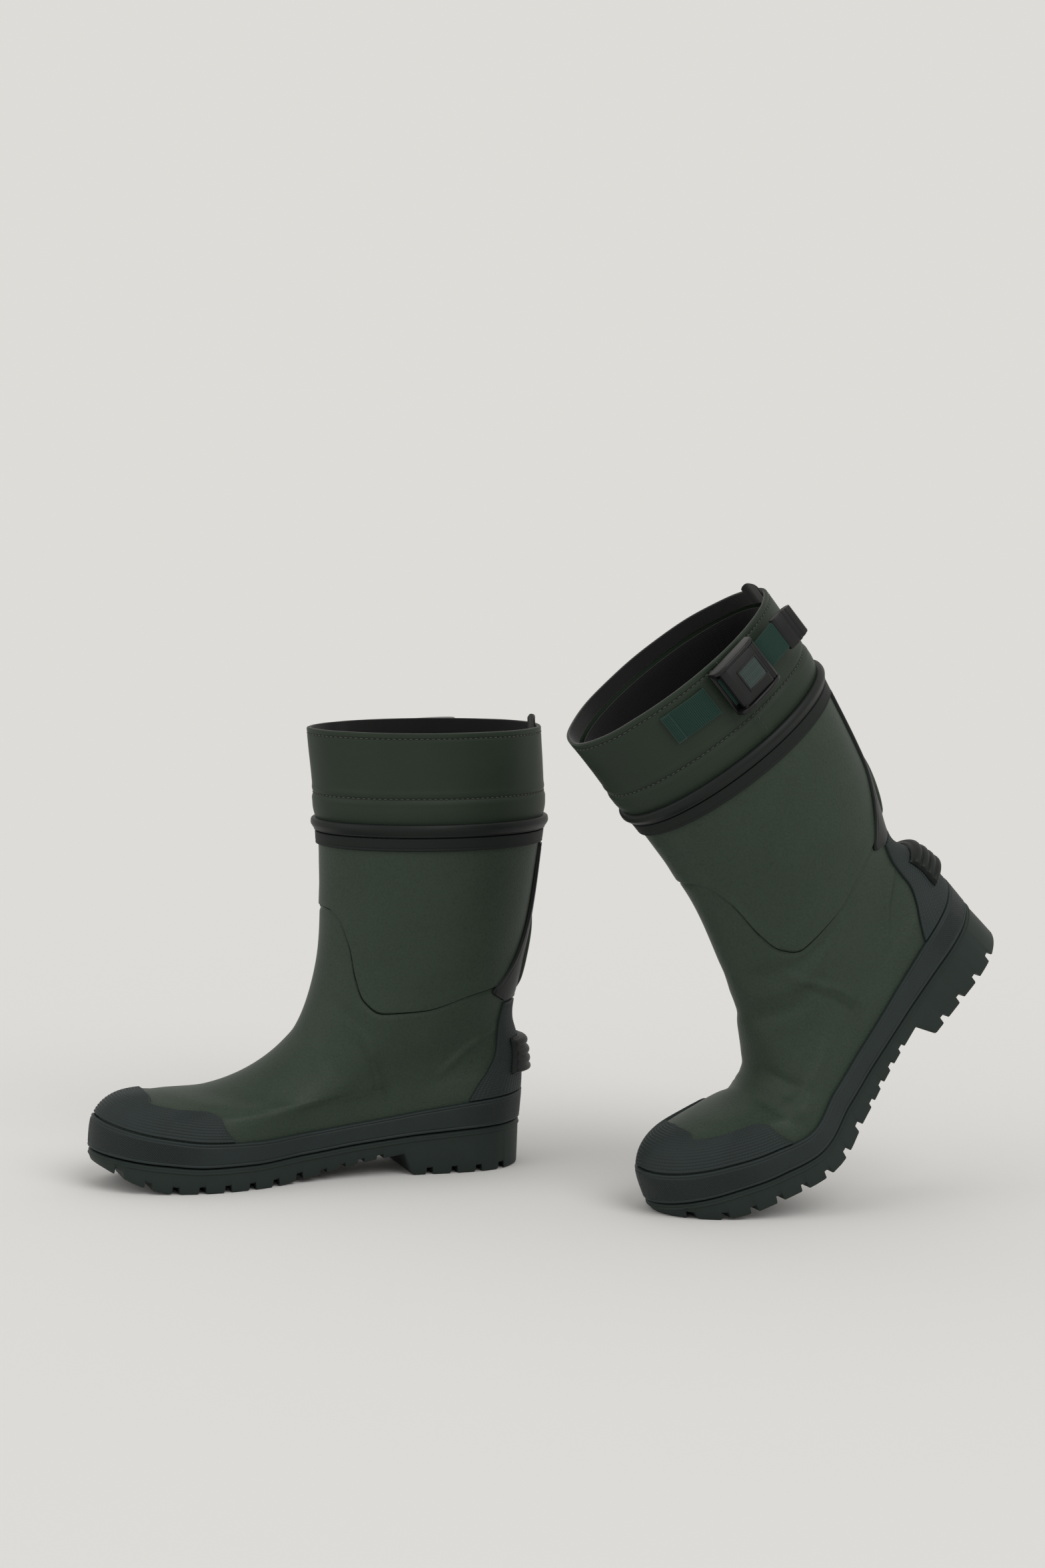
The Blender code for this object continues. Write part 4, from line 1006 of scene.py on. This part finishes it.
def make_layer(side, part, start, end, lift_top, lift_bottom, low, high, crown=0.0):
    """A layer inside the upper, from low to high above the sole's top; crown rounds its upper side."""
    round_end = 1 - np.cos(np.linspace(0, math.pi / 2, 12))
    stations = np.concatenate((start + 16 * round_end, np.linspace(start + 20, end - 20, 60),
                               end - 16 * round_end[::-1]))
    share = np.linspace(0, 1, 19)
    base = sole_top(stations) + SOLE_GAP
    grids = []
    for lift, height, rise in ((lift_top, high, crown), (lift_bottom, low, 0.0)):
        lateral, _ = edge_points(stations, lift, True)
        medial, _ = edge_points(stations, lift, False)
        x = medial[:, None] * (1 - share) + lateral[:, None] * share
        z = (base + height)[:, None] - rise * (1 - np.sin(math.pi * share) ** 0.5)[None, :]
        grids.append(np.stack((x, np.repeat(stations[:, None], len(share), axis=1), z), axis=-1))
    flat = np.concatenate([grid.reshape(-1, 3) for grid in grids])
    mesh = mesh_from(f"{side}_{part}_surface", to_world(side, flat),
                     sheet_faces(len(stations), len(share), False), flat)
    made = piece(side, part, mesh, None)
    bend_with_ball(made)
    return made


def make_inside(side):
    """The layers between the sole and the foot."""
    inside = -(SHELL_THICKNESS + 1.6)
    make_layer(side, "midsole", 4, 276, inside, inside, 0.0, 5.0)
    make_layer(side, "insole_board", 4, 276, inside, inside, 7.2, 8.8)
    bed = make_layer(side, "footbed", 10, 266, LINING_IN - 2.6, LINING_IN - 1.6, 9.3, 14.0, 1.6)


def make_lining(side):
    """The insulating lining, from the footbed to the hem."""
    def low(theta):
        s = upper(theta, np.full(theta.shape, 0.5))[..., 1]
        return ring_at_height(theta, sole_top(s) + SOLE_GAP + 9.6)

    theta, v = ring_grid(low, level(RIM_Z - HEM_HEIGHT - 1.0), 90, 160)
    b, top = from_edges(theta, v)
    quilt = 0.15 * np.sin(b / 4.0) * smoothstep(np.minimum(b, top), 2, 8)
    square = 1 - rounded(top, 1.2)
    made = sheet_piece(side, "lining", theta, v, LINING_OUT - 0.6 * square, LINING_IN + quilt + 0.9 * square,
                       True, None)
    bend_with_ball(made)


# ---------------------------------------------------------------- collar
def near_strap(theta):
    """1 where the strap and the buckle lie on the collar, 0 away from them."""
    degrees = np.degrees(theta) % 360
    return smoothstep(degrees, 44, 58) * (1 - smoothstep(degrees, 128, 150))


def cloth_wave(side, theta, z):
    """Slight waves of the soft collar, growing towards the rim and flat under the strap."""
    phase = 0.0 if side == "left" else 1.3
    wave = 0.9 * np.sin(3 * theta + phase) + 0.5 * np.sin(5 * theta - 0.7 + phase) + 0.25 * np.sin(11 * theta)
    return wave * smoothstep(z, 240, 292) * (1 - 0.9 * near_strap(theta))


def collar_bulge(z):
    """How far the collar stands out between its bottom and its stitch line."""
    return 0.9 * np.sin(np.clip((z - COLLAR_BOTTOM_Z) / (COLLAR_STITCH_Z - COLLAR_BOTTOM_Z), 0, 1) * math.pi)


def collar_lift(side, theta, z):
    """The collar's outer surface: waves, sunk stitch lines and the overlap of its side seam."""
    degrees = np.degrees(theta) % 360
    seam = 0.45 * smoothstep(degrees, COLLAR_SEAM_ANGLE - 0.3, COLLAR_SEAM_ANGLE + 0.3)
    seam = seam * (1 - smoothstep(degrees, COLLAR_SEAM_ANGLE + 5.0, COLLAR_SEAM_ANGLE + 6.5))
    sunk = -0.40 * bump(z, COLLAR_STITCH_Z, 0.8) - 0.35 * bump(z, HEM_STITCH_Z, 0.8)
    puff = 0.35 * bump(z, COLLAR_STITCH_Z + 3.2, 1.8) + 0.30 * bump(z, COLLAR_STITCH_Z - 3.2, 1.8)
    return cloth_wave(side, theta, z) + seam + sunk + puff


def make_collar(side):
    """The collar: a sheet of coated cloth stretched round the top of the leg."""
    theta, v = ring_grid(level(COLLAR_BOTTOM_Z - 0.5), level(RIM_Z), 150, 300)
    z = upper(theta, v)[..., 2]
    tuck = -0.9 * (1 - rounded(RIM_Z - z, 0.9))
    outer = collar_lift(side, theta, z) + tuck + collar_bulge(z)
    made = sheet_piece(side, "collar", theta, v, outer, cloth_wave(side, theta, z) - COLLAR_THICKNESS, True)


def make_rim_hem(side):
    """The hem along the inside of the rim."""
    theta, v = ring_grid(level(RIM_Z - HEM_HEIGHT), level(RIM_Z), 30, 240)
    z = upper(theta, v)[..., 2]
    fold = rounded(np.minimum(RIM_Z - z, z - RIM_Z + HEM_HEIGHT), 0.7)
    wave = cloth_wave(side, theta, z)
    sheet_piece(side, "rim_hem", theta, v, wave - COLLAR_THICKNESS - GAP / 2, wave - 2.2 - 0.6 * fold, True)


def make_top_bead(side):
    """The band under the collar: a rounded ridge over a fine groove."""
    low, high = BEAD_Z
    theta, v = ring_grid(level(low), level(high), 26, 300)
    share = np.clip((upper(theta, v)[..., 2] - low) / (high - low), 0, 1)
    body = LAYER_GAP + 1.3 * rounded(np.minimum(share, 1 - share) * (high - low), 1.0)
    ridge = 1.6 * bump(share, 0.62, 0.36) - 0.45 * bump(share, 0.16, 0.045)
    sheet_piece(side, "top_bead", theta, v, body + ridge, UNDERSIDE, True)


def make_under_band(side):
    """The flat, textured band under the bead."""
    low, high = BAND_Z
    theta, v = ring_grid(level(low), level(high), 22, 300)
    z = upper(theta, v)[..., 2]
    lift = LAYER_GAP + 0.9 * rounded(np.minimum(z - low, high - z), 0.7) - 0.3 * bump(z, low + 1.9, 0.35)
    sheet_piece(side, "under_band", theta, v, lift, UNDERSIDE, True)


def make_label_tab(side):
    """The small cloth tab at the back of the rim, rounded at its top corners."""
    low, high = TAB_Z
    half = math.radians(TAB_HALF_ANGLE)
    theta = np.repeat(math.pi + np.linspace(-half, half, 40)[:, None], 30, axis=1)
    share = np.abs(theta - math.pi) / half
    rows = np.linspace(0, 1, 30)[None, :]
    heights = low * (1 - rows) + (high - 3.2 * share ** 3) * rows
    edge = np.minimum((1 - share) * 14, np.minimum(rows, 1 - rows) * 15)
    wave = cloth_wave(side, theta, np.minimum(heights, RIM_Z)) + 0.3 * np.sin(theta * 22)
    lift = wave - 3.9 + 0.45 * rounded(edge, 0.5) + 0.12 * bump(edge, 1.4, 0.3)
    sheet_piece(side, "label_tab", theta, ring_at_height(theta, heights), lift, wave - 4.5, False)


def thread_run(theta, heights, lift):
    """Stitches along a line over the collar: short threads that rise out of the cloth and dip back."""
    v = ring_at_height(theta, heights)
    path, normals = skin(theta, v, lift), skin_normal(theta, v)
    length = np.concatenate(([0], np.cumsum(np.linalg.norm(np.diff(path, axis=0), axis=-1))))
    count = max(1, int(length[-1] / STITCH_PITCH))
    starts = (np.arange(count) + 0.5) * length[-1] / count - STITCH_LENGTH / 2
    sides, rings = 6, 7
    along = np.linspace(0, 1, rings)
    at = starts[:, None] + along[None, :] * STITCH_LENGTH
    centre = np.stack([np.interp(at, length, path[:, axis]) for axis in range(3)], axis=-1)
    out = np.stack([np.interp(at, length, normals[:, axis]) for axis in range(3)], axis=-1)
    out /= np.linalg.norm(out, axis=-1, keepdims=True)
    forward = np.gradient(centre, axis=1)
    forward /= np.linalg.norm(forward, axis=-1, keepdims=True)
    aside = np.cross(out, forward)
    arch = np.sin(np.pi * along)
    radius = THREAD_RADIUS * (0.25 + 0.75 * arch ** 0.5)
    centre = centre + out * (0.30 * arch - 0.12)[None, :, None]
    angles = np.arange(sides) * math.pi / 3
    points = (centre[:, :, None] + aside[:, :, None] * (np.cos(angles) * radius[:, None])[None, :, :, None]
              + out[:, :, None] * (np.sin(angles) * radius[:, None])[None, :, :, None]).reshape(-1, 3)
    base = (np.arange(count) * sides * rings)[:, None, None]
    ring = base + (np.arange(rings - 1) * sides)[None, :, None]
    j = np.arange(sides)
    following = (j + 1) % sides
    quads = np.stack((ring + j, ring + following, ring + sides + following, ring + sides + j), axis=-1)
    caps = np.concatenate((base[:, 0] + j[None, ::-1], base[:, 0] + sides * (rings - 1) + j[None, :]))
    return points, quads.reshape(-1, 4), caps


def make_stitches(side):
    """All the stitch lines of the collar and the strap, as one piece."""
    runs = []
    around = np.radians(np.linspace(0, 360, 721))
    for z, raised in ((COLLAR_STITCH_Z, 0.15), (HEM_STITCH_Z, 0.1)):
        heights = np.full(around.shape, z)
        runs.append(thread_run(around, heights, collar_lift(side, around, heights) + raised))
    for low_z, high_z in ((COLLAR_BOTTOM_Z + 2, 259.0), (291.5, 294.0)):
        heights = np.linspace(low_z, high_z, 40)
        theta = np.full(heights.shape, math.radians(COLLAR_SEAM_ANGLE + 2.4))
        lift = collar_lift(side, theta, heights) + collar_bulge(heights) + 0.05
        runs.append(thread_run(theta, heights, lift))
    heights = np.linspace(STRAP_Z - 8.6, STRAP_Z + 8.6, 40)
    for degrees in (STRAP_START_ANGLE + 1.6, STRAP_START_ANGLE + 4.0):
        runs.append(thread_run(np.full(heights.shape, math.radians(degrees)), heights, 2.0))
    starts = np.cumsum([0] + [len(points) for points, _, _ in runs[:-1]])
    flat = np.concatenate([points for points, _, _ in runs])
    quads = np.concatenate([quads + start for (_, quads, _), start in zip(runs, starts)])
    caps = np.concatenate([caps + start for (_, _, caps), start in zip(runs, starts)])
    mesh = mesh_from(f"{side}_collar_stitches", to_world(side, flat), [quads, caps], flat)
    piece(side, "collar_stitches", mesh)


# ---------------------------------------------------------------- strap and buckle
def buckle_matrix(side):
    """The buckle's frame: local Z points away from the collar, Y up the boot, X along the strap."""
    theta = np.array([math.radians(BUCKLE_ANGLE)])
    ring = float(ring_at_height(theta, STRAP_Z)[0])
    step = 0.05

    def at(v, lift=0.0):
        return Vector(to_world(side, skin(theta, np.array([v]), np.array([lift])))[0])

    out = (at(ring, 1.0) - at(ring)).normalized()
    up = (at(ring + step) - at(ring - step)).normalized()
    up = (up - out * up.dot(out)).normalized()
    along = up.cross(out)
    place = Matrix((along, up, out)).transposed().to_4x4()
    place.translation = at(ring, BUCKLE_LIFT)
    return place


def extruded(profile, low_y, high_y, bevel, segments):
    """A solid whose side view is the profile (x, z), from low_y to high_y, with rounded edges."""
    work = bmesh.new()
    near = [work.verts.new((x, low_y, z)) for x, z in profile]
    far = [work.verts.new((x, high_y, z)) for x, z in profile]
    count = len(profile)
    work.faces.new(near)
    work.faces.new(far[::-1])
    for k in range(count):
        work.faces.new((near[k], near[(k + 1) % count], far[(k + 1) % count], far[k]))
    bmesh.ops.recalc_face_normals(work, faces=work.faces)
    bmesh.ops.bevel(work, geom=list(work.edges), offset=bevel, segments=segments, affect="EDGES",
                    profile=0.5, clamp_overlap=True)
    return work


def solid_piece(side, part, works, place, body="hindfoot"):
    """A piece joined from solids in buckle millimetres, which its look keeps as coordinates."""
    mesh = bpy.data.meshes.new(f"{side}_{part}_surface")
    together = bmesh.new()
    for work in works:
        solid = bpy.data.meshes.new("solid")
        work.to_mesh(solid)
        work.free()
        together.from_mesh(solid)
        bpy.data.meshes.remove(solid)
    together.to_mesh(mesh)
    together.free()
    local = np.empty(len(mesh.vertices) * 3, np.float32)
    mesh.vertices.foreach_get("co", local)
    for label in ("flat", "sheet"):
        mesh.attributes.new(label, "FLOAT_VECTOR", "POINT").data.foreach_set("vector", local)
    mesh.transform(place @ MILLIMETRES)
    mesh.shade_smooth()
    mesh.set_sharp_from_angle(angle=math.radians(40))
    return piece(side, part, mesh, body)


def flipped(profile, back):
    """The profile with its x along the strap, which runs the other way round on the right boot."""
    return [(back * x, z) for x, z in profile]


def rib_relief(distance):
    """How deep the webbing's ribs sink, by the distance along it."""
    return RIB_DEPTH * (np.cos(2 * math.pi * distance / RIB_PITCH) * 0.5 - 0.5)


def make_cinch_strap(side):
    """The sewn strap, which lies on the collar and lifts towards the buckle."""
    count, rows = 200, 25
    angles = np.radians(np.linspace(STRAP_START_ANGLE, BUCKLE_ANGLE - 17, count))
    theta = np.repeat(angles[:, None], rows, axis=1)
    heights = np.linspace(STRAP_Z - STRAP_WIDTH / 2, STRAP_Z + STRAP_WIDTH / 2, rows)
    v = ring_at_height(theta, np.repeat(heights[None, :], count, axis=0))
    a, _ = arc_lengths(skin(theta, v, 1.0))
    rise = 1.2 * smoothstep(theta, angles[0], angles[-1])
    side_fall = rounded(STRAP_WIDTH / 2 - np.abs(heights - STRAP_Z), 0.8)[None, :]
    end = rounded(np.minimum(a, a[-1:] - a), 0.7)
    folded = 0.9 * (1 - smoothstep(a, 5.5, 6.3))
    thick = (STRAP_THICKNESS * 0.65 + folded + rib_relief(a)) * end * (0.3 + 0.7 * side_fall)
    sheet_piece(side, "cinch_strap", theta, v, GAP + 0.55 + rise + thick, GAP + rise, False)


def make_strap_tail(side, place, back):
    """The webbing's free end, which runs straight back from the buckle and droops a little."""
    count, rows = int(TAIL_LENGTH / RIB_PITCH * 6), 23
    x = np.linspace(0, TAIL_LENGTH, count)
    y = np.linspace(-STRAP_WIDTH / 2, STRAP_WIDTH / 2, rows)
    end = rounded(np.minimum(x, TAIL_LENGTH - x), 0.6)[:, None]
    side_fall = rounded(STRAP_WIDTH / 2 - np.abs(y), 0.8)[None, :]
    half = (STRAP_THICKNESS / 2 + rib_relief(x)[:, None]) * end * (0.35 + 0.65 * side_fall)
    grid_x = np.repeat((back * (TAIL_START + x))[:, None], rows, axis=1)
    grid_y = np.repeat(y[None, :], count, axis=0)
    points = np.concatenate([np.stack((grid_x, grid_y, z), axis=-1).reshape(-1, 3) for z in (half, -half)])
    away = np.abs(points[:, 0]) - BUCKLE_LENGTH / 2
    flat = points + np.array([0.0, 0.0, TAIL_LIFT])
    flat[:, 2] -= 2.6 * smoothstep(away, 0, 34) * np.sign(np.maximum(back * points[:, 0], 0))
    flat[:, 1] += 0.5 * np.sin(np.clip(away, 0, None) / 13.0)
    in_world = np.array([place @ MILLIMETRES @ Vector(point) for point in flat])
    mesh = mesh_from(f"{side}_strap_tail_surface", in_world, sheet_faces(count, rows, False), points, points)
    piece(side, "strap_tail", mesh, "strap_tail")


def make_strap_tip(side, place, back):
    """The moulded end of the webbing, with grip ribs, narrowing to its end."""
    start = TAIL_START + TAIL_LENGTH - 10.0
    outline = [(0, -1.7), (2, -2.4), (13, -2.5), (16, -1.9), (17, -0.6), (17, 0.8), (16, 2.0), (12.5, 2.6),
               (11.6, 2.0), (10.4, 2.0), (9.6, 2.6), (8.7, 2.0), (7.5, 2.0), (6.7, 2.6), (2, 2.4), (0, 1.7)]
    profile = [(start + x, TAIL_LIFT - 2.6 + z) for x, z in outline]
    width = STRAP_WIDTH / 2 + 1.5
    tip = extruded(flipped(profile, back), -width, width, 0.45, 2)
    for vert in tip.verts:
        far = max(0.0, back * vert.co.x - start - 9.0)
        vert.co.y *= 1 - 0.014 * far
    solid_piece(side, "strap_tip", [tip], place, "strap_tail")


def make_buckle_frame(side, place, back):
    """The buckle's floor and its two rounded cheeks."""
    half = BUCKLE_HEIGHT / 2
    base = [(-18, 0.2), (-17, 0), (17, 0), (18, 0.2), (18, 1.3), (17.4, 1.6), (-17.4, 1.6), (-18, 1.3)]
    cheek = [(-18, 0), (18, 0), (18, 5.8), (17.2, 7.6), (14.5, 9.6), (9, 11.4), (2, 12), (-10, 12),
             (-14.5, 11.2), (-17.2, 9.0), (-18, 6.6)]
    works = [extruded(flipped(base, back), -half + 0.6, half - 0.6, 0.15, 1),
             extruded(flipped(cheek, back), half - CHEEK, half, 0.9, 4),
             extruded(flipped(cheek, back), -half, -half + CHEEK, 0.9, 4)]
    solid_piece(side, "buckle_frame", works, place)


def make_buckle_lever(side, place, back):
    """The lever, with grip ribs at its free end and a raised rim round its window, and the window's pane."""
    inside = BUCKLE_HEIGHT / 2 - CHEEK - 0.4
    low = BASE_THICKNESS + STRAP_THICKNESS + 3 * GAP
    top = low + LEVER_THICKNESS
    start = PIN_A - LEVER_HEEL
    outline = [(0, low + 1.4), (1.2, low), (28.5, low), (30.6, low + 0.8), (31.8, low + 2.4),
               (31.6, low + 4.2), (30.2, low + 5.2), (29.2, low + 4.6), (28.2, low + 5.6), (27.2, low + 5.0),
               (26.2, low + 6.0), (25.2, top), (14, top + 0.1), (4, top), (1.4, top - 0.7), (0.2, top - 2.4)]
    works = [extruded(flipped([(start + x, z) for x, z in outline], back), -inside, inside, 0.35, 2)]
    centre = back * (PIN_A + 15.0)
    half_x, half_y = WINDOW_HALF_LENGTH, WINDOW_HALF_WIDTH
    wide, high = half_x + WINDOW_RIM, half_y + WINDOW_RIM
    for low_x, high_x, low_y, high_y in ((-wide, wide, half_y, high), (-wide, wide, -high, -half_y),
                                         (half_x, wide, -half_y, half_y), (-wide, -half_x, -half_y, half_y)):
        bar = [(centre + low_x, top - 1.0), (centre + high_x, top - 1.0), (centre + high_x, top + 0.55),
               (centre + low_x, top + 0.55)]
        works.append(extruded(bar, low_y, high_y, 0.3, 2))
    solid_piece(side, "buckle_lever", works, place, "lever")

    pane = [(centre + half_x * share, top + z)
            for share, z in ((-1, -0.6), (1, -0.6), (1, 0.15), (0.5, 0.3), (-0.5, 0.3), (-1, 0.15))]
    solid_piece(side, "lever_window", [extruded(pane, -half_y, half_y, 0.1, 2)], place, "lever")


# ---------------------------------------------------------------- build
for side in ("right", "left"):
    for make in (make_vamp, make_leg_panel, make_foxing, make_toe_cap, make_heel_counter, make_back_stay,
                 make_rear_patch, make_kick_spur, make_outsole, make_inside, make_lining, make_collar,
                 make_rim_hem, make_top_bead, make_under_band, make_label_tab, make_stitches,
                 make_cinch_strap):
        make(side)
    place, back = buckle_matrix(side), 1 if side == "left" else -1
    for make in (make_strap_tail, make_strap_tip, make_buckle_frame, make_buckle_lever):
        make(side, place, back)
    for part, look in (("shank", "cad_steel"), ("toe_puff", "cad_board"), ("heel_stiffener", "cad_board"),
                       ("buckle_anchor", "cad_webbing"), ("buckle_pin", "cad_steel")):
        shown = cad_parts[f"{side}_{part}"]
        shown.data.materials.clear()
        shown.data.materials.append(LOOKS[look])

# ---------------------------------------------------------------- floor, light and camera
FLOOR_COLOUR = (0.717, 0.713, 0.705)
SKY_COLOUR = (0.730, 0.716, 0.687)

floor_mesh = bpy.data.meshes.new("studio_floor")
floor_mesh.from_pydata([(-60, -60, 0), (60, -60, 0), (60, 60, 0), (-60, 60, 0)], [], [(0, 1, 2, 3)])
floor = bpy.data.objects.new("studio_floor", floor_mesh)
bpy.context.scene.collection.objects.link(floor)
floor_look = bpy.data.materials.new("pale floor")
floor_look.use_nodes = True
paint = floor_look.node_tree.nodes["Principled BSDF"]
paint.inputs["Base Color"].default_value = (*FLOOR_COLOUR, 1.0)
paint.inputs["Roughness"].default_value = 0.9
paint.inputs["Specular IOR Level"].default_value = 0.0
floor_mesh.materials.append(floor_look)

world = bpy.data.worlds.new("studio")
bpy.context.scene.world = world
world.use_nodes = True
world.node_tree.nodes["Background"].inputs["Color"].default_value = (*SKY_COLOUR, 1.0)
world.node_tree.nodes["Background"].inputs["Strength"].default_value = 1.0


def sun(name, toward, strength, spread):
    """A broad, soft light that comes from the direction toward."""
    data = bpy.data.lights.new(name, "SUN")
    data.energy = strength
    data.angle = math.radians(spread)
    made = bpy.data.objects.new(name, data)
    made.rotation_mode = "QUATERNION"
    made.rotation_quaternion = Vector(toward).to_track_quat("Z", "Y")
    bpy.context.scene.collection.objects.link(made)


sun("key_light", (0.85, 0.30, 0.90), 1.0, 40.0)
sun("left_light", (0.20, -1.00, 0.50), 0.45, 50.0)

camera_data = bpy.data.cameras.new("camera")
camera_data.lens = 85.0
camera_data.sensor_width = 36.0
camera = bpy.data.objects.new("camera", camera_data)
camera.location = (2.2433, -0.7550, 0.5347)
camera.rotation_euler = (math.radians(83.492), math.radians(-0.655), math.radians(71.809))
bpy.context.scene.collection.objects.link(camera)
bpy.context.scene.camera = camera
bpy.context.scene.view_settings.view_transform = "Standard"
